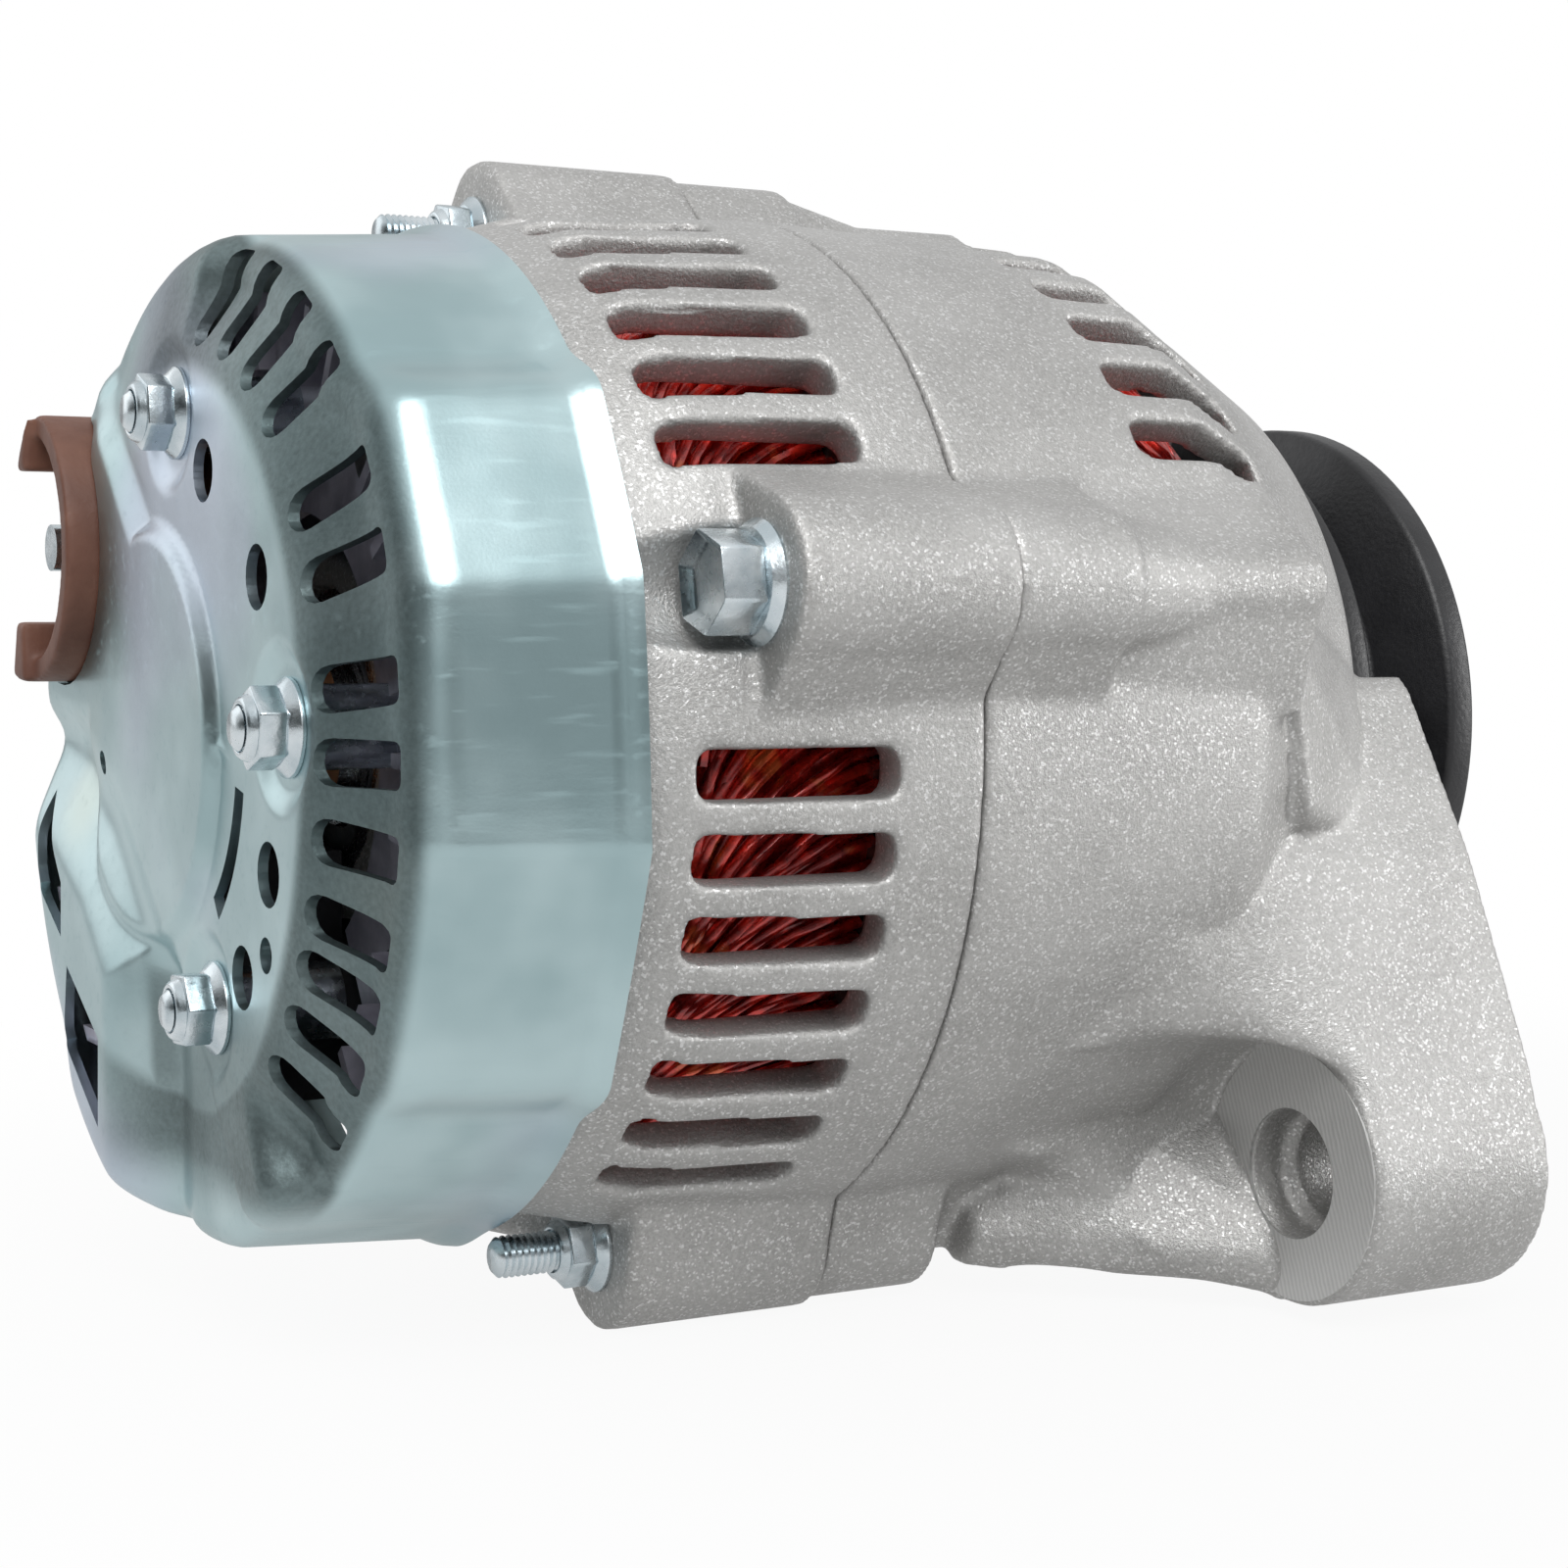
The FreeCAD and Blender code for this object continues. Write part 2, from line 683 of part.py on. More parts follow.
def rear_cover():
    cover = cover_form(0).cut(cover_form(cover_sheet))
    cuts = []
    half = cover_slot_width / 2
    slot_outline = [
        (vec(cover_punch_start, cover_slot_inner, -half), cover_slot_end_round),
        (vec(cover_punch_start, cover_slot_inner, half), cover_slot_end_round),
        (vec(cover_punch_start, cover_slot_outer, half), cover_slot_corner),
        (vec(cover_punch_start, cover_slot_outer, -half), cover_slot_corner),
    ]
    slot = rounded_face(slot_outline).extrude(vec(cover_slot_punch, 0, 0))
    for angle in cover_slot_angles:
        cuts.append(swung(slot, angle))
    punch_end = cover_punch_start + cover_hole_punch
    for y, z in cover_holes:
        cuts.append(rod(cover_punch_start, punch_end, cover_hole_radius, y, z))
    for y, z, radius in cover_small_holes:
        cuts.append(rod(cover_punch_start, punch_end, radius, y, z))
    for y, z in cover_nut_places:
        cuts.append(rod(cover_punch_start, punch_end, stud_radius + bolt_gap, y, z))
    cuts.append(sector(cover_punch_start, punch_end, *cover_crescent))
    room = insulator_radius + insulator_gap
    cuts.append(rod(cover_punch_start, cover_corner_level, room, output_y, output_z))
    low, high = terminal_mouth
    cuts.append(block(cover_punch_start, cover_corner_level + 1, output_y, output_y + parting_radius,
                      output_z + low, output_z + high))
    for corners in lobe_windows:
        outline = [(vec(cover_punch_start, y, z), lobe_window_corner) for y, z in corners]
        cuts.append(rounded_face(outline).extrude(vec(lobe_window_punch, 0, 0)))
    return cover.cut(cuts)


def cover_studs():
    start = rear_end + rear_wall
    return [rod(cover_stud_end, start, stud_radius, y, z) for y, z in cover_nut_places]


def cover_nuts():
    seat = cover_nut_level
    return [flange_nut(seat, -1, stud_radius, y, z) for y, z in cover_nut_places]


def frame_bolts():
    bolts = []
    for spot in stud_places(bolt_angles):
        flange_end = rear_boss_face - bolt_flange_height
        head_end = flange_end - bolt_head_height
        bolt = rod(rear_boss_face, bolt_end, bolt_radius, spot.y, spot.z)
        bolt = bolt.fuse(rod(flange_end, rear_boss_face, bolt_flange_radius, spot.y, spot.z))
        head = hexagon(head_end, flange_end, bolt_head_flats, spot.y, spot.z)
        head = head.cut(rod(head_end, head_end + bolt_socket_depth, bolt_socket_radius, spot.y, spot.z))
        bolts.append(bolt.fuse(head))
    return bolts


def frame_studs():
    start = stud_end - stud_length
    return [rod(start, stud_end, stud_radius, spot.y, spot.z) for spot in stud_places(stud_angles)]


def frame_stud_nuts():
    return [flange_nut(rear_boss_face, -1, stud_radius, spot.y, spot.z) for spot in stud_places(stud_angles)]


def stator_core():
    core = tube(stator_rear, stator_front, stator_seat_radius, stator_bore)
    half = slot_width / 2
    slot = block(stator_rear, stator_front, stator_bore - slot_mouth, stator_bore + slot_depth, -half, half)
    return core.cut(around(slot, stator_slots))


def end_winding(face, reach):
    """Ring of coil ends that bulges from one face of the stator core."""
    tip = face + reach
    return turned_solid([
        (face, winding_inner),
        (face, winding_outer),
        (tip, winding_outer, winding_round),
        (tip, winding_inner, winding_round),
    ])


def bearing_race(start, end, inner, outer, ball_circle, ball):
    race = tube(start, end, outer, inner)
    groove = Part.makeTorus(ball_circle, ball + running_gap, vec((start + end) / 2, 0, 0), shaft_axis)
    return race.cut(groove)


def bearing(start, end, bore, outer):
    """Outer race, inner race, balls and seals of one bearing."""
    ball_circle = (bore + outer) / 2
    ball = (outer - bore) / 2 - race_thickness + 0.9
    inner_land = bore + race_thickness
    outer_land = outer - race_thickness
    outer_race = bearing_race(start, end, outer_land, outer, ball_circle, ball)
    inner_race = bearing_race(start, end, bore, inner_land, ball_circle, ball)
    middle = (start + end) / 2
    balls = around(Part.makeSphere(ball, vec(middle, ball_circle, 0)), ball_count)
    seals = []
    for face in (start + seal_inset, end - seal_inset - seal_thickness):
        seals.append(tube(face, face + seal_thickness, outer_land, inner_land + 0.3))
    return outer_race, inner_race, balls, seals


def rotor_shaft():
    return turned_solid([
        (shaft_rear_end, 0),
        (shaft_rear_end, slip_seat_radius),
        (rear_seat_start, slip_seat_radius),
        (rear_seat_start, rear_bearing_bore),
        (rear_bearing_end, rear_bearing_bore),
        (rear_bearing_end, shaft_radius),
        (front_bearing_start, shaft_radius),
        (front_bearing_start, front_bearing_bore),
        (thread_start, front_bearing_bore),
        (thread_start, thread_radius),
        (shaft_front_end, thread_radius, 1.2),
        (shaft_front_end, 0),
    ])


def pole_piece(direction, first_angle):
    """Claw pole; direction is 1 where the disc lies towards the pulley."""
    outer_face = rotor_middle + direction * rotor_half_length
    inner_face = outer_face - direction * pole_disc
    low = min(outer_face, inner_face)
    high = max(outer_face, inner_face)
    disc = rod(low, high, pole_disc_radius)
    core = rod(min(inner_face, rotor_middle), max(inner_face, rotor_middle), pole_core_radius)
    tip_face = rotor_middle - direction * (rotor_half_length - claw_tip_gap)
    reach = rotor_radius + claw_overreach
    root = block(low, high, pole_disc_radius - claw_root_overlap, reach, -claw_root_width / 2, claw_root_width / 2)
    sections = []
    for face, width, inner in ((inner_face, claw_root_width, claw_inner), (tip_face, claw_tip_width, claw_tip_inner)):
        half = width / 2
        sections.append(Part.makePolygon([
            vec(face, inner, -half), vec(face, inner, half),
            vec(face, reach, half), vec(face, reach, -half), vec(face, inner, -half)]))
    claw = root.fuse(Part.makeLoft(sections, True, True))
    claw = claw.common(rod(rotor_middle - rotor_half_length, rotor_middle + rotor_half_length, rotor_radius))
    piece = disc.fuse([core] + around(claw, claw_count, first_angle))
    return piece.cut(rod(rotor_middle - rotor_half_length, rotor_middle + rotor_half_length, shaft_radius))


def field_bobbin():
    start = rotor_middle - rotor_half_length + pole_disc
    end = rotor_middle + rotor_half_length - pole_disc
    reach = pole_core_radius + bobbin_wall
    bobbin = tube(start, end, bobbin_radius, pole_core_radius)
    return bobbin.cut(tube(start + bobbin_wall, end - bobbin_wall, bobbin_radius, reach))


def field_coil():
    start = rotor_middle - rotor_half_length + pole_disc + bobbin_wall
    end = rotor_middle + rotor_half_length - pole_disc - bobbin_wall
    reach = pole_core_radius + bobbin_wall
    return tube(start, end, bobbin_radius - coil_inset, reach)


def fan(face, direction):
    """Fan pressed on a pole piece; direction is 1 where it blows towards the pulley."""
    plate_end = face + direction * fan_plate
    blade_end = plate_end + direction * fan_blade_height
    plate = tube(min(face, plate_end), max(face, plate_end), fan_plate_radius, pole_core_radius)
    blade = block(min(face, blade_end), max(face, blade_end), 0, fan_radius - fan_blade_inner,
                  0, fan_blade_thickness)
    blade.rotate(centre_point, shaft_axis, fan_blade_lean)
    blade.translate(vec(0, fan_blade_inner, 0))
    blades = around(blade, fan_blades)
    return plate.fuse(blades)


def slip_sleeve():
    return tube(shaft_rear_end, rear_seat_start, slip_sleeve_radius, slip_seat_radius)


def slip_rings():
    rings = []
    for middle in (slip_ring_rear, slip_ring_front):
        rings.append(tube(middle - slip_ring_width / 2, middle + slip_ring_width / 2,
                          slip_ring_radius, slip_sleeve_radius))
    return rings


def pulley():
    back = belt_plane - pulley_half_width
    front = belt_plane + pulley_half_width
    floor_radius = pulley_radius - groove_depth
    floor_half = groove_half_top - groove_depth * math.tan(math.radians(groove_half_angle))
    bore = front_bearing_bore
    hollow = floor_radius - pulley_rim
    hub_back = front_bearing_end + 4.0
    return turned_solid([
        (hub_back, bore),
        (hub_back, pulley_hub_radius),
        (belt_plane - pulley_web_half, pulley_hub_radius, 2),
        (belt_plane - pulley_web_half, hollow, 2),
        (back, hollow + 2),
        (back, pulley_radius, 0.8),
        (belt_plane - groove_half_top, pulley_radius, 0.8),
        (belt_plane - floor_half, floor_radius),
        (belt_plane + floor_half, floor_radius),
        (belt_plane + groove_half_top, pulley_radius, 0.8),
        (front, pulley_radius, 0.8),
        (front, hollow + 2),
        (belt_plane + pulley_web_half, hollow, 2),
        (belt_plane + pulley_web_half, pulley_hub_radius, 2),
        (pulley_hub_front, pulley_hub_radius),
        (pulley_hub_front, bore),
    ])


def shaft_nut():
    start = pulley_hub_front + lock_washer_thickness
    nut = hexagon(start, start + shaft_nut_height, shaft_nut_flats)
    return nut.cut(rod(start, start + shaft_nut_height, thread_radius))


def bearing_retainer():
    start = front_bearing_start - retainer_thickness
    plate = tube(start, front_bearing_start, front_hub_radius, retainer_inner)
    hole = rod(start, front_bearing_start, retainer_screw_radius + bolt_gap, retainer_screw_circle)
    return plate.cut(around(hole, retainer_screws, 45))


def retainer_screw_set():
    seat = front_bearing_start - retainer_thickness
    end = front_bearing_start + retainer_screw_length - 1
    screw = rod(seat, end, retainer_screw_radius, retainer_screw_circle)
    head = rod(seat - retainer_head_height, seat, retainer_head_radius, retainer_screw_circle)
    drive = hexagon(seat - retainer_head_height, seat - retainer_head_height + 1.5, 4, retainer_screw_circle)
    return around(screw.fuse(head).cut(drive), retainer_screws, 45)


def rectifier_levels():
    negative_rear = stud_pad_level - negative_plate_thickness
    positive_front = negative_rear - plate_spacing
    positive_rear = positive_front - positive_plate_thickness
    return negative_rear, positive_front, positive_rear


def negative_plate():
    rear, _, _ = rectifier_levels()
    plate = sector(rear, stud_pad_level, plate_inner, plate_outer, *negative_plate_span)
    cuts = [rod(rear, stud_pad_level, plate_hole_radius, y, z) for y, z in cover_nut_places]
    seat = rod(rear, stud_pad_level, diode_radius, diode_circle)
    cuts += [swung(seat, angle) for angle in negative_diode_angles]
    return plate.cut(cuts)


def positive_plate():
    _, front, rear = rectifier_levels()
    plate = sector(rear, front, plate_inner, plate_outer, *positive_plate_span)
    fin = block(rear - fin_height, rear, fin_inner, plate_outer, -fin_thickness / 2, fin_thickness / 2)
    pitch = (positive_plate_span[1] - fin_end_gap - first_fin) / (fin_count - 1)
    plate = plate.fuse(around(fin, fin_count, first_fin, pitch))
    plate = plate.fuse(rod(rear, front, output_ear_radius, output_y, output_z))
    cuts = [rod(rear, front, plate_hole_radius, y, z) for y, z in cover_nut_places]
    cuts.append(rod(rear, front, output_shank_radius, output_y, output_z))
    seat = rod(rear, front, diode_radius, diode_circle)
    cuts += [swung(seat, angle) for angle in positive_diode_angles]
    return plate.cut(cuts)


def diodes(start, end, lead_end, angles):
    """Press-fit diodes with one lead each."""
    lead_start = start if abs(lead_end - start) < abs(lead_end - end) else end
    body = rod(start, end, diode_radius, diode_circle)
    lead = rod(min(lead_start, lead_end), max(lead_start, lead_end), lead_radius, diode_circle)
    return [swung(body.fuse(lead), angle) for angle in angles]


def rectifier_bushes():
    """Insulating bushes that hold the two plates apart on the upper and near studs."""
    rear, front, _ = rectifier_levels()
    return [tube(front, rear, bush_radius, stud_radius + bolt_gap, y, z) for y, z in cover_nut_places[:2]]


def cover_spacers():
    """Tubes on the studs that carry the cover's face."""
    _, _, plate_rear = rectifier_levels()
    seat = cover_nut_level + cover_sheet
    bore = stud_radius + bolt_gap
    tubes = [tube(seat, plate_rear, bush_radius, bore, y, z) for y, z in cover_nut_places[:2]]
    y, z = cover_nut_places[2]
    ear_rear = holder_front - holder_ear_thickness
    tubes.append(tube(seat, ear_rear, bush_radius, bore, y, z))
    tubes.append(tube(holder_front, stud_pad_level, bush_radius, bore, y, z))
    return tubes


def output_stud():
    """Pressed stud: thick shank through plate, floor and nut, thinner free thread behind them."""
    _, front, rear = rectifier_levels()
    shank_end = rear - insulator_floor - output_nut_height
    stud = rod(shank_end, front, output_shank_radius, output_y, output_z)
    stud = stud.fuse(rod(output_stud_tip, shank_end, output_stud_radius, output_y, output_z))
    return stud.fuse(hexagon(front, front + output_head_height, output_nut_flats, output_y, output_z))


def output_nut():
    _, _, rear = rectifier_levels()
    seat = rear - insulator_floor
    nut = hexagon(seat - output_nut_height, seat, output_nut_flats, output_y, output_z)
    return nut.cut(rod(seat - output_nut_height, seat, output_shank_radius, output_y, output_z))


def terminal_insulator():
    """Horseshoe wall with two raised horns, open towards the far side, on a round floor."""
    _, _, rear = rectifier_levels()
    floor = rod(rear - insulator_floor, rear, insulator_radius, output_y, output_z)
    wall_inner = insulator_radius - insulator_wall
    wall = sector(insulator_rim, rear, wall_inner, insulator_radius,
                  *insulator_span)
    horns = []
    horn_inner = insulator_radius - insulator_horn_depth
    for first in (insulator_span[0], insulator_span[1] - insulator_horn_span):
        horns.append(sector(insulator_horn, rear, horn_inner, insulator_radius,
                            first, first + insulator_horn_span))
    wall = wall.fuse(horns)
    wall.translate(vec(0, output_y, output_z))
    body = floor.fuse(wall)
    body = body.cut(rod(insulator_horn, rear, output_shank_radius + bolt_gap, output_y, output_z))
    return body.common(rod(insulator_horn, rear, insulator_reach))


def brush(middle):
    half = brush_width / 2
    body = block(middle - half, middle + half, -brush_depth / 2, brush_depth / 2, brush_tail, -9)
    return body.cut(rod(middle - half, middle + half, slip_ring_radius + brush_to_ring))


def brush_spring(middle):
    floor = holder_bottom + holder_floor
    height = brush_tail - floor - 2 * spring_wire
    pitch = height / spring_turns
    helix = Part.makeHelix(pitch, height, spring_radius)
    start = vec(spring_radius, 0, 0)
    section = Part.Wire(Part.makeCircle(spring_wire, start, vec(0, 1, 0)))
    coil = Part.Wire(helix).makePipeShell([section], True, True)
    coil.translate(vec(middle, 0, floor + spring_wire))
    return coil


def brush_holder():
    holder = block(holder_rear, holder_front, -holder_half_width, holder_half_width, holder_bottom, holder_top)
    y, z = cover_nut_places[2]
    ear_rear = holder_front - holder_ear_thickness
    holder = holder.fuse(rod(ear_rear, holder_front, bush_radius, y, z))
    holder = holder.fuse(block(ear_rear, holder_front, y, 0, z - bush_radius, z + bush_radius))
    cuts = [rod(ear_rear, holder_front, stud_radius + bolt_gap, y, z)]
    for middle in (slip_ring_rear, slip_ring_front):
        half_x = brush_width / 2 + brush_gap
        half_y = brush_depth / 2 + brush_gap
        cuts.append(block(middle - half_x, middle + half_x, -half_y, half_y,
                          holder_bottom + holder_floor, holder_top))
    return holder.cut(cuts)


def voltage_regulator():
    return sector(regulator_rear, regulator_front, regulator_inner, regulator_outer, *regulator_span)


def regulator_sink():
    """Finned aluminium block on the regulator, seen through the cover's two windows."""
    base_rear = regulator_rear - sink_base
    base = sector(base_rear, regulator_rear, regulator_inner + sink_base_inset, regulator_outer, *regulator_span)
    room = lobe_prism(cover_sheet + sink_gap, base_rear, sink_rear)
    room = room.common(rod(sink_rear, base_rear, regulator_outer + sink_reach))
    fins = []
    for index in range(sink_fins):
        low = sink_first_fin - index * sink_pitch
        slab = block(sink_rear, base_rear, 0, lobe_reach, low, low + sink_fin_thickness)
        fins.append(slab.common(room))
    return base.fuse(fins)


def build():
    """Every named piece of the alternator, each as one solid or a list of like solids."""
    negative_rear, positive_front, positive_rear = rectifier_levels()
    front_outer, front_inner, front_balls, front_seals = bearing(
        front_bearing_start, front_bearing_end, front_bearing_bore, front_bearing_outer)
    rear_outer, rear_inner, rear_balls, rear_seals = bearing(
        rear_bearing_start, rear_bearing_end, rear_bearing_bore, rear_bearing_outer)
    rotor_front = rotor_middle + rotor_half_length
    rotor_rear = rotor_middle - rotor_half_length
    return {
        "rear_cover": rear_cover(),
        "cover_nuts": cover_nuts(),
        "cover_studs": cover_studs(),
        "cover_spacers": cover_spacers(),
        "rear_frame": rear_casting(),
        "drive_frame": drive_casting(),
        "frame_bolts": frame_bolts(),
        "frame_studs": frame_studs(),
        "frame_stud_nuts": frame_stud_nuts(),
        "stator_core": stator_core(),
        "stator_winding_rear": end_winding(stator_rear, -winding_reach_rear),
        "stator_winding_front": end_winding(stator_front, winding_reach_front),
        "front_bearing_outer": front_outer,
        "front_bearing_inner": front_inner,
        "front_bearing_balls": front_balls,
        "front_bearing_seals": front_seals,
        "rear_bearing_outer": rear_outer,
        "rear_bearing_inner": rear_inner,
        "rear_bearing_balls": rear_balls,
        "rear_bearing_seals": rear_seals,
        "bearing_retainer": bearing_retainer(),
        "retainer_screws": retainer_screw_set(),
        "rotor_shaft": rotor_shaft(),
        "rotor_pole_front": pole_piece(1, 0),
        "rotor_pole_rear": pole_piece(-1, 180.0 / claw_count),
        "field_bobbin": field_bobbin(),
        "field_coil": field_coil(),
        "fan_front": fan(rotor_front, 1),
        "fan_rear": fan(rotor_rear, -1),
        "slip_ring_sleeve": slip_sleeve(),
        "slip_rings": slip_rings(),
        "pulley_spacer": tube(front_bearing_end, front_bearing_end + 4, spacer_radius, front_bearing_bore),
        "pulley": pulley(),
        "lock_washer": tube(pulley_hub_front, pulley_hub_front + lock_washer_thickness,
                            lock_washer_radius, front_bearing_bore),
        "pulley_nut": shaft_nut(),
        "rectifier_negative_plate": negative_plate(),
        "rectifier_positive_plate": positive_plate(),
        "rectifier_bushes": rectifier_bushes(),
        "diodes_negative": diodes(negative_rear - 2.5, stud_pad_level, negative_rear - 6, negative_diode_angles),
        "diodes_positive": diodes(positive_rear, positive_front + 2.5, positive_front + 6, positive_diode_angles),
        "output_stud": output_stud(),
        "output_nut": output_nut(),
        "terminal_insulator": terminal_insulator(),
        "brush_holder": brush_holder(),
        "brush_rear": brush(slip_ring_rear),
        "brush_front": brush(slip_ring_front),
        "brush_spring_rear": brush_spring(slip_ring_rear),
        "brush_spring_front": brush_spring(slip_ring_front),
        "voltage_regulator": voltage_regulator(),
        "regulator_heat_sink": regulator_sink(),
    }


os.makedirs("parts", exist_ok=True)
for node, shape in build().items():
    if isinstance(shape, list):
        shape = Part.makeCompound(shape)
    shape.translate(vec(-belt_plane, 0, 0))
    shape.exportStep("parts/" + node + ".step")
    print(node, "solids", len(shape.Solids), "valid", shape.isValid(), "volume", round(shape.Volume))
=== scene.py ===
import bpy
import bmesh
import math
import random
from mathutils import Matrix, Vector


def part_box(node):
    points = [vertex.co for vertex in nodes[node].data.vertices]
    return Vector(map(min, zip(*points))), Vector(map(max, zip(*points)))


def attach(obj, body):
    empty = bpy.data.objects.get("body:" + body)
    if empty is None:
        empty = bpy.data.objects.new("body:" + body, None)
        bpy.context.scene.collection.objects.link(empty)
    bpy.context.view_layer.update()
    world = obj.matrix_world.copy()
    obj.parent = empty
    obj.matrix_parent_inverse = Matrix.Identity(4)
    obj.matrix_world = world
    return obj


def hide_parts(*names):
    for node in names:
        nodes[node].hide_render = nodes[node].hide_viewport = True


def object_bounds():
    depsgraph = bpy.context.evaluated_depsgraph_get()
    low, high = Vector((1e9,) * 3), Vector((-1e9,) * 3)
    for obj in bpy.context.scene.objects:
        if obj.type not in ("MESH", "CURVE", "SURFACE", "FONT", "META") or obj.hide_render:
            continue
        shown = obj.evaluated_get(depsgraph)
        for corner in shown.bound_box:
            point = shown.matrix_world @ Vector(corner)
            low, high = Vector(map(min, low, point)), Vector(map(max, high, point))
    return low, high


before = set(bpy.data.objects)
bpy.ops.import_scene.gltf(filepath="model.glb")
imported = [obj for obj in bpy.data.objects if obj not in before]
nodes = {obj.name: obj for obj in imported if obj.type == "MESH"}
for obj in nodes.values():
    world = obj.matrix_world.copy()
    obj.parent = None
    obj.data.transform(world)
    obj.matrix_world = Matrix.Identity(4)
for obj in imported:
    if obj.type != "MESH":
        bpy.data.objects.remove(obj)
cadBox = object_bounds()
mm = 0.001
mergeWithin = 0.004 * mm
sharpAngle = 30   # edges that turn by more get a bevel
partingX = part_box("rear_frame")[1].x   # plane where the two castings meet
random.seed(7)


def station(x):
    # stations in the dictionaries are millimetres from the parting plane
    return partingX + x * mm


def polar(x, radius, angle):
    turn = math.radians(angle)
    return Vector((station(x), radius * math.cos(turn) * mm, radius * math.sin(turn) * mm))


def ease(value):
    value = min(1.0, max(0.0, value))
    return value * value * (3 - 2 * value)


def turnAngle(y, z):
    return math.degrees(math.atan2(z, y)) % 360


def between(angle, first, last, soft):
    # 1 inside an arc of angles, falling to 0 over soft degrees outside it
    middle = (first + last) / 2
    away = abs((angle - middle + 180) % 360 - 180) - (last - first) / 2
    return 1 - ease(away / soft)


def arc(centre, radius, first, last, steps):
    # points of an arc in the plane of its centre, angles in degrees
    bends = [math.radians(first + (last - first) * index / steps) for index in range(steps + 1)]
    return [(centre[0] + radius * math.cos(bend), centre[1] + radius * math.sin(bend)) for bend in bends]


def finish(bm, name, material, body, smoothAngle=35, replaces=()):
    bmesh.ops.remove_doubles(bm, verts=bm.verts, dist=mergeWithin)
    bmesh.ops.recalc_face_normals(bm, faces=bm.faces)
    mesh = bpy.data.meshes.new(name)
    bm.to_mesh(mesh)
    bm.free()
    return placed(mesh, name, material, body, smoothAngle, replaces)


def placed(mesh, name, material, body, smoothAngle=35, replaces=()):
    skins = material if isinstance(material, list) else [material]
    mesh.materials.clear()
    for skin in skins:
        mesh.materials.append(skin)
    mesh.shade_smooth()
    mesh.set_sharp_from_angle(angle=math.radians(smoothAngle))
    piece = bpy.data.objects.new(name, mesh)
    bpy.context.scene.collection.objects.link(piece)
    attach(piece, body)
    if replaces:
        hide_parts(*replaces)
    return piece


def applied(piece):
    # the mesh with its modifiers applied
    graph = bpy.context.evaluated_depsgraph_get()
    mesh = bpy.data.meshes.new_from_object(piece.evaluated_get(graph))
    old = piece.data
    piece.modifiers.clear()
    piece.data = mesh
    bpy.data.meshes.remove(old)
    return mesh


def loose(bm, name):
    mesh = bpy.data.meshes.new(name)
    bm.to_mesh(mesh)
    bm.free()
    piece = bpy.data.objects.new(name, mesh)
    bpy.context.scene.collection.objects.link(piece)
    return piece


def spun(bm, profile, steps, close=True):
    # profile of (station, radius) turned about the shaft
    points = [bm.verts.new((station(x), radius * mm, 0)) for x, radius in profile]
    edges = [bm.edges.new(pair) for pair in zip(points, points[1:])]
    if close:
        edges.append(bm.edges.new((points[-1], points[0])))
    bmesh.ops.spin(bm, geom=points + edges, cent=(0, 0, 0), axis=(1, 0, 0),
                   angle=2 * math.pi, steps=steps, use_merge=True)


def bevelSharp(bm, offset, segments):
    bmesh.ops.remove_doubles(bm, verts=bm.verts, dist=mergeWithin)
    bmesh.ops.recalc_face_normals(bm, faces=bm.faces)
    limit = math.radians(sharpAngle)
    sharp = [edge for edge in bm.edges if len(edge.link_faces) == 2 and edge.calc_face_angle(0) > limit]
    bmesh.ops.bevel(bm, geom=sharp, offset=offset * mm, offset_type="OFFSET", segments=segments,
                    profile=0.5, affect="EDGES", clamp_overlap=True, material=-1)


def prism(bm, outline, depth):
    # outline of 3D points pushed along depth into a closed solid
    points = [bm.verts.new(point) for point in outline]
    face = bm.faces.new(points)
    moved = bmesh.ops.extrude_face_region(bm, geom=[face])
    ends = [item for item in moved["geom"] if isinstance(item, bmesh.types.BMVert)]
    bmesh.ops.translate(bm, verts=ends, vec=depth)


# shader helpers


class Wire:
    def __init__(self, node, output=0):
        self.node = node
        self.socket = node.outputs[output]

    def make(self, kind, settings=None, inputs=None, output=0):
        tree = self.node.id_data
        node = tree.nodes.new("ShaderNode" + kind)
        for key, value in (settings or {}).items():
            setattr(node, key, value)
        for key, value in (inputs or {}).items():
            if isinstance(value, Wire):
                tree.links.new(value.socket, node.inputs[key])
            else:
                node.inputs[key].default_value = value
        return Wire(node, output)

    def out(self, name):
        return Wire(self.node, name)

    def maths(self, operation, first, second=0.0):
        return self.make("Math", {"operation": operation}, {0: first, 1: second})

    def __add__(self, other):
        return self.maths("ADD", self, other)

    def __radd__(self, other):
        return self.maths("ADD", other, self)

    def __sub__(self, other):
        return self.maths("SUBTRACT", self, other)

    def __rsub__(self, other):
        return self.maths("SUBTRACT", other, self)

    def __mul__(self, other):
        return self.maths("MULTIPLY", self, other)

    def __rmul__(self, other):
        return self.maths("MULTIPLY", other, self)

    def step(self, low, high):
        # 0 below low, 1 above high, eased between
        return self.make("MapRange", {"interpolation_type": "SMOOTHSTEP", "clamp": True},
                         {"Value": self, "From Min": low, "From Max": high, "To Min": 0.0, "To Max": 1.0})

    def mix(self, first, second):
        # colour mix with this value as the factor
        return self.make("Mix", {"data_type": "RGBA"}, {0: self, 6: first, 7: second}, output=2)


def startMaterial(name, settings):
    material = bpy.data.materials.new(name)
    material.use_nodes = True
    tree = material.node_tree
    shader = tree.nodes["Principled BSDF"]
    for key, value in settings.items():
        shader.inputs[key].default_value = value
    coordinates = tree.nodes.new("ShaderNodeTexCoord")
    return material, shader, Wire(coordinates, "Object")


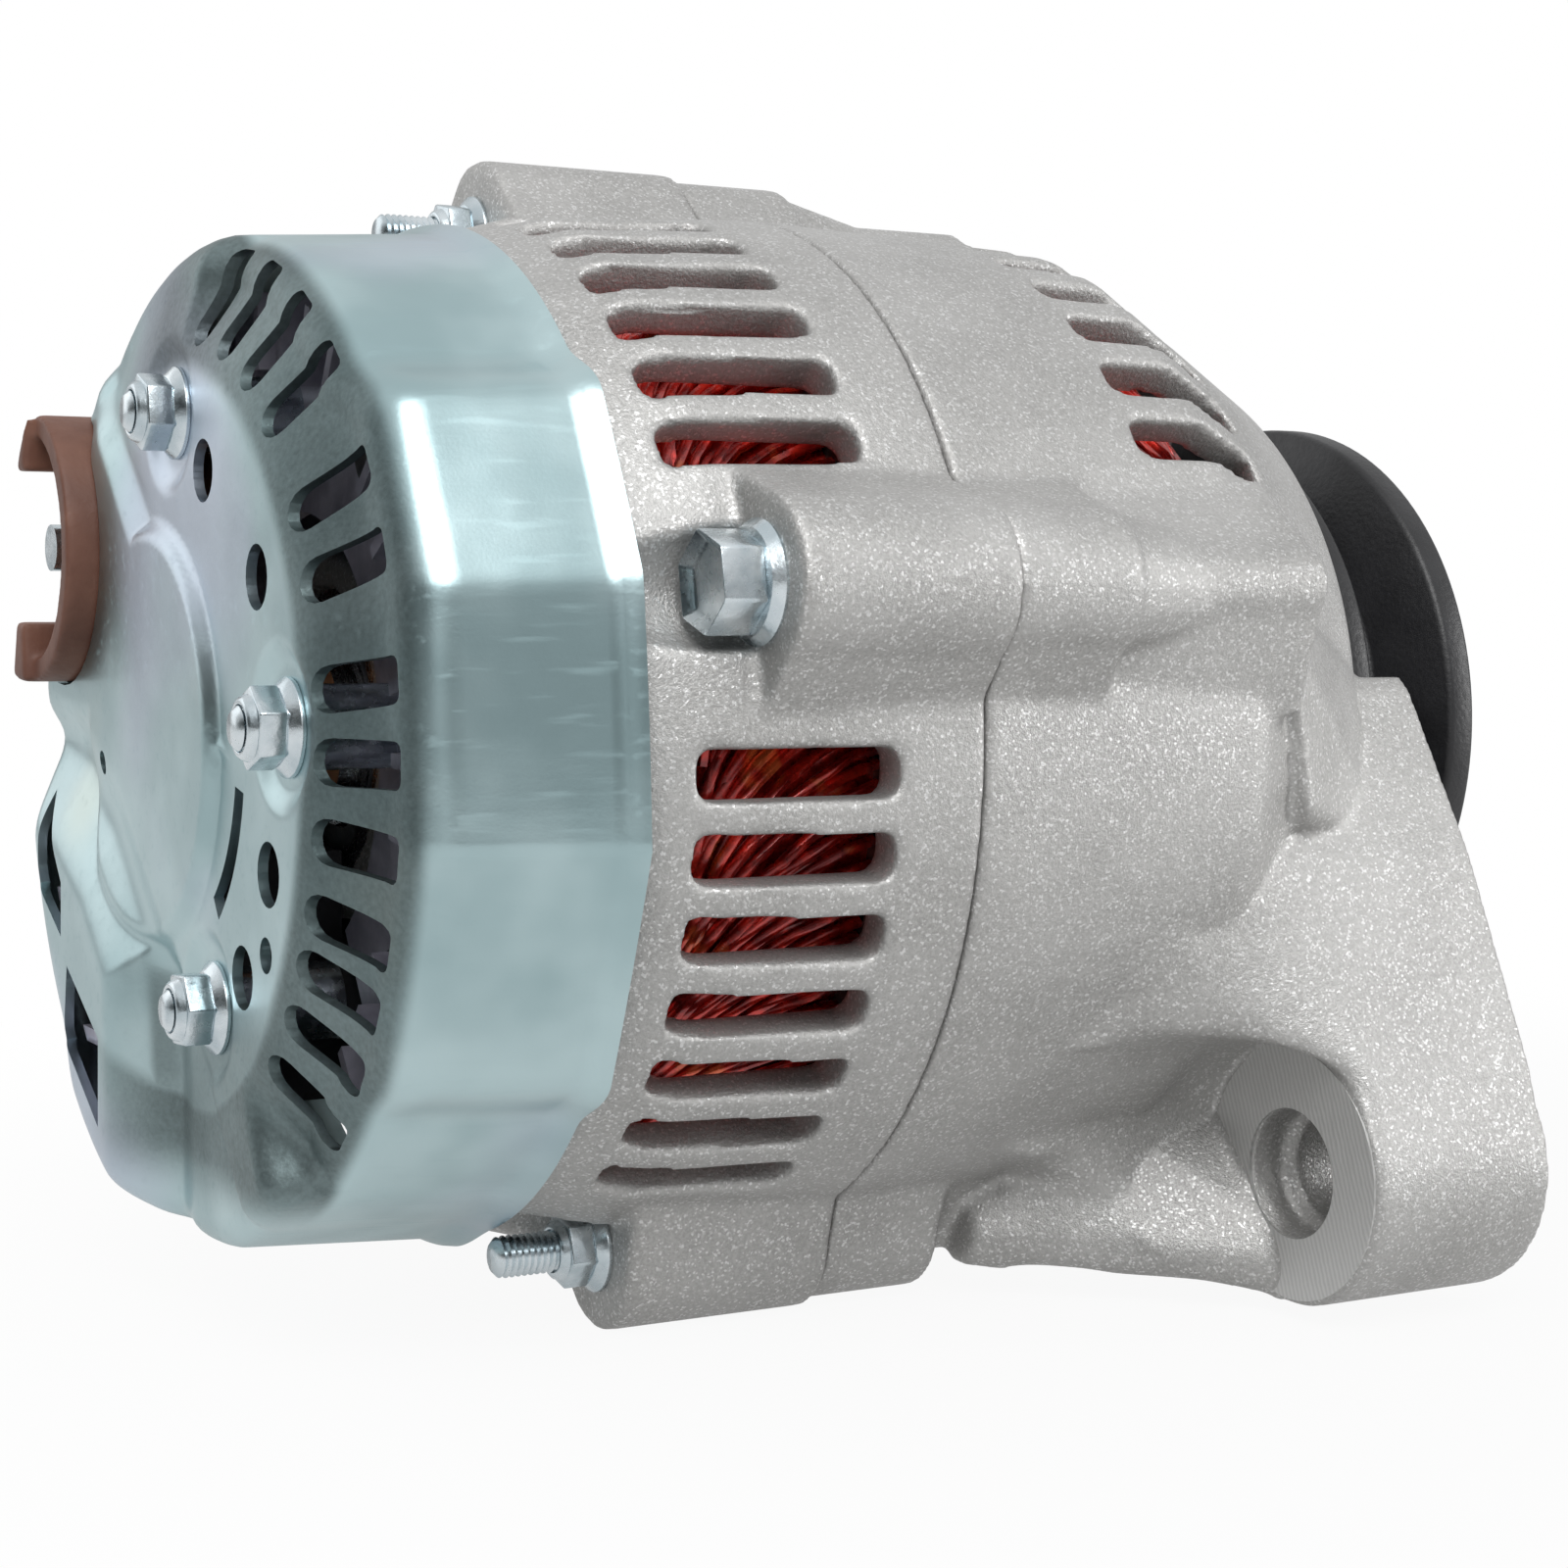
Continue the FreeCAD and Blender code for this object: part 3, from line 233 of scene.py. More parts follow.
def feed(shader, **values):
    names = {"colour": "Base Color", "roughness": "Roughness", "normal": "Normal", "coat": "Coat Weight"}
    for key, value in values.items():
        shader.id_data.links.new(value.socket, shader.inputs[names[key]])


def noise(place, scale, detail=3.0, roughness=0.5):
    return place.make("TexNoise", {}, {"Vector": place, "Scale": scale, "Detail": detail,
                                       "Roughness": roughness})


def stretched(place, scale, turn=(0, 0, 0)):
    return place.make("Mapping", {}, {"Vector": place, "Scale": scale, "Rotation": turn})


def bump(place, height, strength, distance, below=None):
    inputs = {"Height": height, "Strength": strength, "Distance": distance}
    if below:
        inputs["Normal"] = below
    return place.make("Bump", {}, inputs)


def rgb(red, green, blue):
    return (red, green, blue, 1.0)


# materials


def zincCoverMaterial():
    look = {
        "pale": rgb(0.52, 0.66, 0.68),
        "deep": rgb(0.36, 0.49, 0.51),
        "lilac": rgb(0.55, 0.56, 0.70),
        "straw": rgb(0.60, 0.64, 0.56),
        "dirtAndPaintedShadeTone": rgb(0.035, 0.045, 0.042),
        "ringInner": (0.0415, 0.0445),     # metres from the shaft, where the dirt and painted dark reflection begin
        "ringOuter": (0.0590, 0.0610),     # and where they end
        "ringFront": (station(-64.5), station(-62.5)),
        "ringBottom": (-0.055, -0.048),
        "ringFarSide": (0.005, 0.03),
        "basinTop": (-0.034, -0.026),
        "basinRear": (station(-71.9), station(-70.9)),
        "basinFront": (station(-66.0), station(-63.0)),
        "basinOuter": (0.050, 0.056),
    }
    material, shader, place = startMaterial("zincCover", {"Metallic": 1.0})
    axes = place.make("SeparateXYZ", {}, {"Vector": place})
    radius = place.make("VectorMath", {"operation": "LENGTH"},
                        {0: stretched(place, (0.0, 1.0, 1.0))}, output="Value")
    cloud = noise(place, 38.0, 3.0)
    slow = noise(place, 17.0, 2.0)
    base = cloud.step(0.35, 0.65).mix(look["deep"], look["pale"])
    base = (slow.step(0.56, 0.70) * 0.55).mix(base, look["lilac"])
    base = (noise(place, 23.0, 2.0).step(0.58, 0.72) * 0.5).mix(base, look["straw"])
    # dirt and painted dark reflection on the sloping ring of slots
    ring = radius.step(*look["ringInner"]) * (1 - radius.step(*look["ringOuter"]))
    ring = ring * (1 - axes.out("X").step(*look["ringFront"])) * axes.out("Z").step(*look["ringBottom"])
    ring = ring * (1 - axes.out("Y").step(*look["ringFarSide"]))
    grain = noise(place, 1500.0, 3.0)
    dirtAndPaintedShade = ring * (0.62 + 0.38 * noise(place, 60.0, 4.0))
    # painted shade in the basin under the lowest nut
    basin = (1 - axes.out("Z").step(*look["basinTop"])) * axes.out("X").step(*look["basinRear"])
    basin = basin * (1 - axes.out("X").step(*look["basinFront"])) * (1 - radius.step(*look["basinOuter"]))
    dirtAndPaintedShade = dirtAndPaintedShade.maths("MAXIMUM", dirtAndPaintedShade, basin * 0.55)
    # darken the colour with the dirt and the painted shade
    base = (dirtAndPaintedShade * (0.70 + 0.30 * grain)).mix(base, look["dirtAndPaintedShadeTone"])
    scratch = noise(stretched(place, (60.0, 900.0, 900.0), (0.2, 0.1, 0.0)), 1.0, 2.0)
    fine = noise(place, 2600.0, 2.0)
    rough = 0.25 + 0.12 * cloud + 0.18 * dirtAndPaintedShade + 0.10 * scratch.step(0.55, 0.75)
    height = fine * (0.4 + dirtAndPaintedShade) + scratch * 0.6
    normal = bump(place, height, 0.10, 0.0002, bump(place, noise(place, 70.0, 2.0), 0.25, 0.0008))
    feed(shader, colour=base, roughness=rough, normal=normal)
    return material


def castMaterial():
    material, shader, place = startMaterial("castAluminium", {"Metallic": 0.75})
    grain = noise(place, 2300.0, 3.0, 0.7)
    speck = place.make("TexVoronoi", {"feature": "F1"}, {"Vector": place, "Scale": 3600.0}, output="Color")
    speck = place.make("SeparateColor", {}, {"Color": speck})
    broad = noise(place, 60.0, 3.0)
    base = broad.step(0.3, 0.7).mix(rgb(0.36, 0.355, 0.345), rgb(0.43, 0.425, 0.415))
    base = (grain.step(0.35, 0.65) * 0.5).mix(base, rgb(0.56, 0.555, 0.545))
    base = (speck.step(0.80, 0.98) * 0.45).mix(base, rgb(0.95, 0.95, 0.95))
    rough = 0.46 - 0.2 * speck.step(0.80, 0.95) + 0.08 * broad
    normal = bump(place, grain, 0.45, 0.00035, bump(place, noise(place, 220.0, 3.0), 0.25, 0.0006))
    feed(shader, colour=base, roughness=rough, normal=normal)
    return material


def zincSteelMaterial():
    material, shader, place = startMaterial("zincSteel", {"Metallic": 1.0})
    cloud = noise(place, 240.0, 3.0)
    base = cloud.step(0.3, 0.7).mix(rgb(0.52, 0.60, 0.64), rgb(0.74, 0.80, 0.83))
    rough = 0.16 + 0.2 * noise(place, 900.0, 3.0)
    normal = bump(place, noise(place, 700.0, 3.0), 0.2, 0.0003)
    feed(shader, colour=base, roughness=rough, normal=normal)
    return material


def burnishedMaterial():
    material, shader, place = startMaterial("burnishedEdge", {"Metallic": 1.0})
    streak = noise(stretched(place, (400.0, 1500.0, 1500.0)), 1.0, 3.0)
    base = streak.step(0.3, 0.7).mix(rgb(0.35, 0.35, 0.33), rgb(0.85, 0.84, 0.80))
    rough = 0.25 + 0.3 * streak
    feed(shader, colour=base, roughness=rough, normal=bump(place, streak, 0.4, 0.0004))
    return material


def sawnMaterial():
    # machined aluminium face with the fine arcs of the cutter
    material, shader, place = startMaterial("sawnFace", {"Metallic": 0.9})
    arcs = place.make("TexWave", {"wave_type": "BANDS", "bands_direction": "Y"},
                      {"Vector": stretched(place, (1.0, 1.0, 1.0), (0.35, 0.0, 0.0)), "Scale": 420.0,
                       "Distortion": 2.5, "Detail": 3.0})
    base = arcs.mix(rgb(0.62, 0.62, 0.61), rgb(0.74, 0.74, 0.73))
    rough = 0.38 + 0.2 * noise(place, 900.0, 3.0)
    feed(shader, colour=base, roughness=rough, normal=bump(place, arcs, 0.15, 0.0001))
    return material


def enamelMaterial():
    varnish = {"Metallic": 0.55, "Coat Roughness": 0.08, "Coat IOR": 1.6}
    material, shader, place = startMaterial("redEnamel", varnish)
    tone = noise(place, 420.0, 3.0)
    base = tone.step(0.35, 0.70).mix(rgb(0.26, 0.004, 0.004), rgb(0.80, 0.03, 0.014))
    # orange patches painted as highlights on the wires
    base = (noise(place, 160.0, 2.0).step(0.60, 0.72) * 0.7).mix(base, rgb(0.95, 0.20, 0.05))
    rough = 0.16 + 0.22 * noise(place, 800.0, 2.0)
    coat = 0.6 + 0.4 * tone
    feed(shader, colour=base, roughness=rough, coat=coat, normal=bump(place, tone, 0.3, 0.0005))
    return material


def plasticMaterial(name, dark, light, roughLow, roughHigh, grainScale, depth):
    material, shader, place = startMaterial(name, {"Specular IOR Level": 0.45})
    tone = noise(place, grainScale * 0.12, 3.0)
    grain = noise(place, grainScale, 3.0)
    base = tone.step(0.3, 0.7).mix(dark, light)
    rough = roughLow + (roughHigh - roughLow) * grain
    feed(shader, colour=base, roughness=rough, normal=bump(place, grain, 0.3, depth))
    return material


def metalMaterial(name, dark, light, roughLow, roughHigh, scale, metallic=1.0):
    material, shader, place = startMaterial(name, {"Metallic": metallic})
    tone = noise(place, scale, 4.0)
    grain = noise(place, scale * 6, 3.0)
    base = tone.step(0.3, 0.7).mix(dark, light)
    rough = roughLow + (roughHigh - roughLow) * grain
    feed(shader, colour=base, roughness=rough, normal=bump(place, grain, 0.2, 0.0003))
    return material


def blackPaintMaterial():
    material, shader, place = startMaterial("blackPulley", {"Specular IOR Level": 0.5})
    tone = noise(place, 90.0, 3.0)
    grain = noise(place, 1400.0, 3.0)
    base = tone.step(0.3, 0.75).mix(rgb(0.006, 0.006, 0.007), rgb(0.018, 0.018, 0.02))
    rough = 0.34 + 0.16 * grain
    feed(shader, colour=base, roughness=rough, normal=bump(place, grain, 0.25, 0.0003))
    return material


cover = {
    "rim": -40.5,
    "ringLevel": -71.0,
    "slotInner": 43.5,
    "slotOuter": 56.5,
    "slotLevel": -65.0,
    "slotArc": (98.0, 235.0),
    "wall": 58.3,
    "wallTaper": 1.5,
    "rimFlare": 1.1,
    "flareStart": 0.84,            # shares of the wall
    "flareShare": 0.14,
    "edgeRound": 6.0,
    "lobeEdgeRound": 3.4,
    "lobeReach": 1.3,
    "lobeArc": (262.0, 306.0),
    "tightArc": (240.0, 306.0),    # where the rear edge has the lobe's smaller round
    "topArc": (48.0, 97.0),
    "topDrop": 2.2,
    "sheet": 1.2,
    "nearReach": 3.4,
    "ridges": (143.5, 163.4, 189.0, 214.0),
    "nuts": ((2.0, 37.8), (-36.8, 2.4), (-10.5, -30.5)),
    "seatLevel": -69.9,
    "seatRadius": 6.6,
    "seatSoft": 3.0,
    "plateCentre": (9.0, 0.0),
    "plateRadius": 25.6,
    "plateRise": 1.5,
    "plateSoft": 2.2,              # how far a fold takes to run out
    "creaseSoft": 5.0,
    "creaseStart": (11.0, 27.0),
    "creaseNormal": (0.676, -0.737),
    "basinStart": (-7.8, -35.0),
    "basinNormal": (0.751, -0.66),
    "basinDepth": 1.5,
    "lobeFold": ((62.0, -1.0), (38.7, -4.8), (22.9, -12.6), (8.5, -24.6), (7.2, -40.9), (8.0, -62.0)),
    "lobeLevel": -75.0,
    "lobeSlope": 12.0,
    "slotAngles": (99, 110, 121, 132, 148, 158, 172, 181, 191, 201, 209, 218, 228),
    "slotWidth": 5.0,
    "holes": ((-11.1, 30.5, 3.6), (-29.6, 18.3, 3.6), (-32.5, -13.5, 3.6), (-23.3, -25.6, 3.6),
              (-31.4, -22.3, 2.0), (27.1, -4.1, 1.5)),
    "crescent": (22.0, 25.0, 192.0, 233.0),
    "terminal": (44.5, 23.0, 17.8),
    "windows": (((38.2, -19.9), (48.5, -8.5), (50.3, -20.9), (38.6, -26.9)),
                ((21.5, -37.9), (35.9, -30.4), (37.9, -40.1), (22.1, -49.0))),
    "rings": 90,
    "edgeRings": 8,
    "wallRings": 20,
    "turns": 360,
    "facetFlatness": 0.85,
    "valleyDepth": 0.7,
    "slotCut": (-78.0, 17.5),      # where a cut starts, and how far it goes
    "holeCut": (-90.0, 28.0),
    "crescentCut": (-78.0, 11.0),
    "windowCut": (-82.0, 10.0),
    "terminalCut": (-90.0, 30.0),
    "terminalMouth": (40.0, -9.0, 12.0),   # reach outwards, lower and upper edge
}


def coverReach(angle):
    reach = cover["wall"]
    ridges = cover["ridges"]
    reach += cover["nearReach"] * between(angle, ridges[0], ridges[-1], 9.0)
    reach += cover["lobeReach"] * between(angle, *cover["lobeArc"], 12.0)
    # flat facets between the ridges
    for first, last in zip(ridges, ridges[1:]):
        if first < angle < last:
            half = math.radians((last - first) / 2)
            flat = math.cos(half) / math.cos(math.radians(angle - (first + last) / 2))
            reach *= 1 - (1 - flat) * cover["facetFlatness"]
    return reach


def lobeDepth(y, z):
    # distance inside the fold that bounds the raised lobe
    fold = cover["lobeFold"]
    depth = 1000.0
    for (y0, z0), (y1, z1) in zip(fold, fold[1:]):
        length = math.hypot(y1 - y0, z1 - z0)
        depth = min(depth, ((y1 - y0) * (z - z0) - (z1 - z0) * (y - y0)) / length)
    return depth


def sideOf(start, normal, y, z):
    return (y - start[0]) * normal[0] + (z - start[1]) * normal[1]


def coverLevel(y, z):
    radius = math.hypot(y, z)
    angle = turnAngle(y, z)
    level = cover["ringLevel"]
    # low plateau round the middle that runs up to the terminal
    plate = cover["plateRadius"] - math.hypot(y - cover["plateCentre"][0], z - cover["plateCentre"][1])
    beyond = min(sideOf(cover["creaseStart"], cover["creaseNormal"], y, z), z + 2)
    level -= cover["plateRise"] * max(ease(plate / cover["plateSoft"]), ease(beyond / cover["creaseSoft"]))
    level += cover["topDrop"] * between(angle, *cover["topArc"], 10.0) * ease((radius - 44) / 11)
    lobe = lobeDepth(y, z)
    # shallow valley at the foot of the lobe, deepest in the basin under the lowest nut
    level += cover["valleyDepth"] * ease(1 - abs(lobe + 1.5) / 6)
    basin = ease(sideOf(cover["basinStart"], cover["basinNormal"], y, z) / 3.0) * ease((-24.5 - z) / 4)
    level += cover["basinDepth"] * basin * (1 - ease((lobe + 1) / 5))
    level += (cover["lobeLevel"] - level) * ease(lobe / cover["lobeSlope"])
    # sloping ring that carries the slots
    slope = between(angle, *cover["slotArc"], 5.0)
    slope *= ease((radius - cover["slotInner"] + 1.0) / (cover["slotOuter"] - cover["slotInner"] + 1.5))
    level += (cover["slotLevel"] - level) * slope
    for nutY, nutZ in cover["nuts"]:
        away = math.hypot(y - nutY, z - nutZ) - cover["seatRadius"]
        level += (cover["seatLevel"] - level) * (1 - ease(away / cover["seatSoft"]))
    return level


def coverPoint(row, angle):
    faceRows = cover["rings"]
    edgeRows = cover["edgeRings"]
    reach = coverReach(angle)
    turn = math.radians(angle)
    lobed = between(angle, *cover["tightArc"], 10.0)
    curve = cover["edgeRound"] + (cover["lobeEdgeRound"] - cover["edgeRound"]) * lobed
    edge = reach - curve
    if row <= faceRows:
        radius = edge * row / faceRows
        return coverLevel(radius * math.cos(turn), radius * math.sin(turn)), radius
    level = coverLevel(edge * math.cos(turn), edge * math.sin(turn))
    if row <= faceRows + edgeRows:
        bend = math.pi / 2 * (row - faceRows) / edgeRows
        return level + curve * (1 - math.cos(bend)), edge + curve * math.sin(bend)
    part = (row - faceRows - edgeRows) / cover["wallRings"]
    start = level + curve
    flare = cover["rimFlare"] * ease((part - cover["flareStart"]) / cover["flareShare"])
    return start + (cover["rim"] - start) * part, reach + cover["wallTaper"] * part + flare


def punch(bm, outline, cut):
    # outline of (y, z) cut from its first station through its depth
    start, depth = cut
    prism(bm, [(station(start), y * mm, z * mm) for y, z in outline], Vector((depth * mm, 0, 0)))


def coverCutters():
    bm = bmesh.new()
    half = cover["slotWidth"] / 2
    corner = 1.0
    for angle in cover["slotAngles"]:
        outline = arc((cover["slotInner"] + 1.8 + half, 0), half, 90, 270, 8)
        outline += arc((cover["slotOuter"] - corner, corner - half), corner, -90, 0, 3)
        outline += arc((cover["slotOuter"] - corner, half - corner), corner, 0, 90, 3)
        turn = Matrix.Rotation(math.radians(angle), 2)
        punch(bm, [turn @ Vector(point) for point in outline], cover["slotCut"])
    for y, z, radius in (*cover["holes"], cover["terminal"]):
        steps = 40 if radius > 10 else 24
        punch(bm, arc((y, z), radius, 0, 360, steps)[:-1], cover["holeCut"])
    inner, outer, first, last = cover["crescent"]
    punch(bm, arc((0, 0), inner, first, last, 12) + arc((0, 0), outer, last, first, 12), cover["crescentCut"])
    for corners in cover["windows"]:
        punch(bm, corners, cover["windowCut"])
    y, z, radius = cover["terminal"]
    reach, lower, upper = cover["terminalMouth"]
    mouth = [(y, z + lower), (y + reach, z + lower), (y + reach, z + upper), (y, z + upper)]
    punch(bm, mouth, cover["terminalCut"])
    bmesh.ops.recalc_face_normals(bm, faces=bm.faces)
    cutter = loose(bm, "coverCutter")
    cutter.data.materials.append(materials["burnished"])
    return cutter


def rearCover():
    # a grid of rows and turns is spun first, and each of its points then goes to its place
    bm = bmesh.new()
    rowStep = 0.01
    rows = cover["rings"] + cover["edgeRings"] + cover["wallRings"]
    points = [bm.verts.new((row * rowStep, 1.0, 0)) for row in range(rows + 1)]
    edges = [bm.edges.new(pair) for pair in zip(points, points[1:])]
    bmesh.ops.spin(bm, geom=points + edges, cent=(0, 0, 0), axis=(1, 0, 0), angle=2 * math.pi,
                   steps=cover["turns"], use_merge=True)
    for vert in bm.verts:
        angle = turnAngle(vert.co.y, vert.co.z)
        x, radius = coverPoint(round(vert.co.x / rowStep), angle)
        vert.co = polar(x, radius, angle)
    bmesh.ops.remove_doubles(bm, verts=bm.verts, dist=0.01 * mm)
    bmesh.ops.recalc_face_normals(bm, faces=bm.faces)
    piece = loose(bm, "rearCoverShell")
    piece.data.materials.append(materials["zincCover"])
    wall = piece.modifiers.new("sheet", "SOLIDIFY")
    wall.thickness = cover["sheet"] * mm
    wall.offset = -1
    cutter = coverCutters()
    cut = piece.modifiers.new("punch", "BOOLEAN")
    cut.operation = "DIFFERENCE"
    cut.solver = "EXACT"
    cut.object = cutter
    cut.material_mode = "TRANSFER"
    cut.use_self = True
    mesh = applied(piece)
    bpy.data.objects.remove(cutter)
    bpy.data.objects.remove(piece)
    placed(mesh, "rearCoverShell", list(mesh.materials), "housing", 40, ("rear_cover",))
    print("rear cover", len(mesh.polygons))


casting = {
    "voxel": 0.7,
    "soften": 5,
    "thin": 0.35,
    "rampAngles": (164.0, 76.0),
    "rampRoot": (15.5, 8.6, 64.0),   # station, radius, distance from the shaft
    "rampTip": (40.0, 4.6, 61.5),
    # discs of station, radius, y, z that a hull joins
    "ledge": ((44.0, 3.0, -58.0, 14.0), (64.0, 3.0, -45.5, 6.0), (48.0, 3.0, -57.0, -8.0),
              (66.0, 3.0, -48.0, -12.0)),
    "webEdge": ((20.0, 4.0, -26.0, -63.0), (36.0, 4.0, -38.0, -64.0), (51.0, 4.0, -52.0, -65.0),
                (52.0, 3.0, -24.0, -60.0), (52.0, 3.0, -38.0, -48.0), (34.0, 3.0, -30.0, -48.0)),
    "webStations": (24.0, 50.0),
    "webNear": 16.2,                 # from the pivot's axis, where the softening starts
    "webFar": 30.0,
    "webSoften": 60,
}


def hull(bm, points):
    made = [bm.verts.new(point) for point in points]
    result = bmesh.ops.convex_hull(bm, input=made)
    spare = [item for item in result["geom_interior"] if isinstance(item, bmesh.types.BMVert)]
    bmesh.ops.delete(bm, geom=spare, context="VERTS")


def disc(x, radius, y, z):
    return [Vector((station(x), a * mm, b * mm)) for a, b in arc((y, z), radius, 0, 360, 16)[:-1]]


def driveBlends(bm):
    # tapering ramps from the bolt bosses into the shell
    for angle in casting["rampAngles"]:
        points = []
        for x, radius, circle in (casting["rampRoot"], casting["rampTip"]):
            spot = polar(0, circle, angle)
            points += disc(x, radius, spot.y / mm, spot.z / mm)
        hull(bm, points)
    # ledge from the near ramp down to the root of the foot, and the web's lower edge beside the foot
    for discs in (casting["ledge"], casting["webEdge"]):
        hull(bm, [point for settings in discs for point in disc(*settings)])


def softenWeb(mesh):
    # the room round the sawn ring runs out into the web in soft curves
    y, z = pivot["place"]
    rear, front = [station(x) for x in casting["webStations"]]
    bm = bmesh.new()
    bm.from_mesh(mesh)
    web = []
    for vert in bm.verts:
        away = math.hypot(vert.co.y / mm - y, vert.co.z / mm - z)
        if casting["webNear"] < away < casting["webFar"] and rear < vert.co.x < front:
            web.append(vert)
    for turn in range(casting["webSoften"]):
        bmesh.ops.smooth_vert(bm, verts=web, factor=0.5, use_axis_x=True, use_axis_y=True, use_axis_z=True)
    bm.to_mesh(mesh)
    bm.free()


def remeshed(piece, settings):
    # one closed skin of even voxels, then softened and thinned
    skin = piece.modifiers.new("skin", "REMESH")
    skin.mode = "VOXEL"
    skin.voxel_size = settings["voxel"] * mm
    soften = piece.modifiers.new("soften", "SMOOTH")
    soften.iterations = settings["soften"]
    if "thin" in settings:
        thin = piece.modifiers.new("thin", "DECIMATE")
        thin.ratio = settings["thin"]
    mesh = applied(piece)
    bpy.data.objects.remove(piece)
    return mesh


def castFromNode(node, name):
    # casting of a CAD node, with soft edges; the drive end also gets its blends
    blended = node == "drive_frame"
    bm = bmesh.new()
    bm.from_mesh(nodes[node].data)
    if blended:
        driveBlends(bm)
    bmesh.ops.remove_doubles(bm, verts=bm.verts, dist=0.002 * mm)
    piece = loose(bm, name)
    mesh = remeshed(piece, casting)
    if blended:
        softenWeb(mesh)
    placed(mesh, name, materials["cast"], "housing", 180, (node,))
    print(name, len(mesh.polygons))


winding = {
    "wires": 150,
    "wireRadius": 0.75,
    "inner": 48.6,
    "outer": 53.9,
    "lean": 24.0,
    "sides": 6,
    "height": (0.86, 0.97),       # shares of the reach
    "fold": 2.2,                  # how far a wire's tip folds over the crown
    "wander": 0.25,
    "core": ((48.0, 53.0), (49.5, 52.0)),   # radii of the bound core at the foot and at the tip
    "coreShare": 0.93,
}


def coilEnds(name, face, direction, node, reach):
    # enamelled wires that leave the core, lean over and turn back
    bm = bmesh.new()
    wander = winding["wander"]
    for radius, side in ((winding["outer"], 1), (winding["inner"], -1)):
        lean = winding["lean"] * side
        for index in range(winding["wires"]):
            start = 360 * index / winding["wires"] + random.uniform(-0.5, 0.5)
            height = reach * random.uniform(*winding["height"])
            path = []
            for step in range(9):
                part = step / 8
                climb = math.sin(part * math.pi / 2)
                angle = start + lean * part ** 1.4 + random.uniform(-wander, wander)
                level = face + direction * height * climb
                depth = radius + random.uniform(-wander, wander) - winding["fold"] * max(0, part - 0.6) * side
                path.append(polar(level, depth, angle))
            tubeAlong(bm, path, winding["wireRadius"] * mm, winding["sides"])
    # bound core that the wires lie on
    tip = face + direction * reach * winding["coreShare"]
    (footInner, footOuter), (tipInner, tipOuter) = winding["core"]
    spun(bm, [(face, footInner), (face, footOuter), (tip, tipOuter), (tip, tipInner)], 96)
    finish(bm, name, materials["enamel"], "housing", 60, (node,))


def tubeAlong(bm, path, radius, sides):
    rings = []
    for index, point in enumerate(path):
        ahead = path[min(index + 1, len(path) - 1)] - path[max(index - 1, 0)]
        side = ahead.normalized().orthogonal().normalized()
        up = ahead.normalized().cross(side)
        ring = []
        for step in range(sides):
            turn = 2 * math.pi * step / sides
            ring.append(bm.verts.new(point + (side * math.cos(turn) + up * math.sin(turn)) * radius))
        if rings:
            shift = min(range(sides), key=lambda k: (ring[k].co - rings[-1][0].co).length)
            ring = ring[shift:] + ring[:shift]
            for step in range(sides):
                following = (step + 1) % sides
                bm.faces.new((rings[-1][step], rings[-1][following], ring[following], ring[step]))
        rings.append(ring)
    bm.faces.new(rings[0])
    bm.faces.new(rings[-1][::-1])


fastener = {
    "nutFlats": 8.0,
    "nutHeight": 4.6,
    "flangeRadius": 5.4,
    "flangeHeight": 1.3,
    "neckRadius": 4.2,
    "collarFoot": 3.9,
    "collarTop": 3.0,
    "collarHeight": 1.0,
    "collarBevel": 0.3,
    "coverStudEnd": -76.2,
    "studRadius": 2.5,
    "thread": 0.8,
    "boltFlats": 10.0,
    "boltHeight": 5.4,
    "boltFlange": 6.8,
    "boltFlangeHeight": 1.6,
    "boltRadius": 3.0,
    "boltEnd": 34.0,
    "boltHollow": 1.5,
    "circle": 64.0,
    "studAngles": (76.0, 252.0),
    "boltAngles": (164.0, 340.0),
    "frameSeat": -27.0,
    "threadDepth": 0.42,
    "tipLength": 0.6,
    "tipNarrowing": 0.7,
}


def hexRing(x, flats, turn):
    corners = arc((0, 0), flats / math.sqrt(3), turn, turn + 360, 6)[:-1]
    return [Vector((station(x), y * mm, z * mm)) for y, z in corners]


def flangeNut(bm, seat, y, z, turn):
    part = bmesh.new()
    reach = fastener["flangeRadius"]
    lip = seat - fastener["flangeHeight"]
    top = seat - fastener["nutHeight"]
    collar = top - fastener["collarHeight"]
    bore = fastener["studRadius"] + 0.05
    neck = lip - 0.3
    slant = fastener["collarBevel"]
    foot, tip = fastener["collarFoot"], fastener["collarTop"]
    spun(part, [(seat, bore), (seat, reach), (seat - 0.5, reach + 0.05), (lip, reach - 0.9),
                (neck, fastener["neckRadius"]), (neck, bore)], 48)
    spun(part, [(top + slant, bore), (top + slant, foot), (top, foot - slant), (collar + slant, tip + 0.35),
                (collar, tip), (collar, bore)], 36)
    bevelSharp(part, 0.12, 2)
    body = bmesh.new()
    prism(body, hexRing(lip - 0.2, fastener["nutFlats"], turn), Vector(((top - lip + 0.2) * mm, 0, 0)))
    bevelSharp(body, 0.28, 3)
    merge(part, body)
    bmesh.ops.translate(part, verts=part.verts, vec=(0, y * mm, z * mm))
    merge(bm, part)


def merge(target, source):
    mesh = bpy.data.meshes.new("scrap")
    source.to_mesh(mesh)
    source.free()
    target.from_mesh(mesh)
    bpy.data.meshes.remove(mesh)


def threadedEnd(bm, start, end, radius, pitch, y, z):
    # stud end with ring threads and a chamfered tip at start
    part = bmesh.new()
    x = start + fastener["tipLength"]
    profile = [(start, 0.0), (start, radius - fastener["tipNarrowing"]), (x, radius - 0.1)]
    while x + pitch < end:
        profile += [(x + pitch * 0.5, radius - fastener["threadDepth"]), (x + pitch, radius)]
        x += pitch
    profile += [(end, radius), (end, 0.0)]
    spun(part, profile, 28, close=False)
    bmesh.ops.translate(part, verts=part.verts, vec=(0, y * mm, z * mm))
    merge(bm, part)


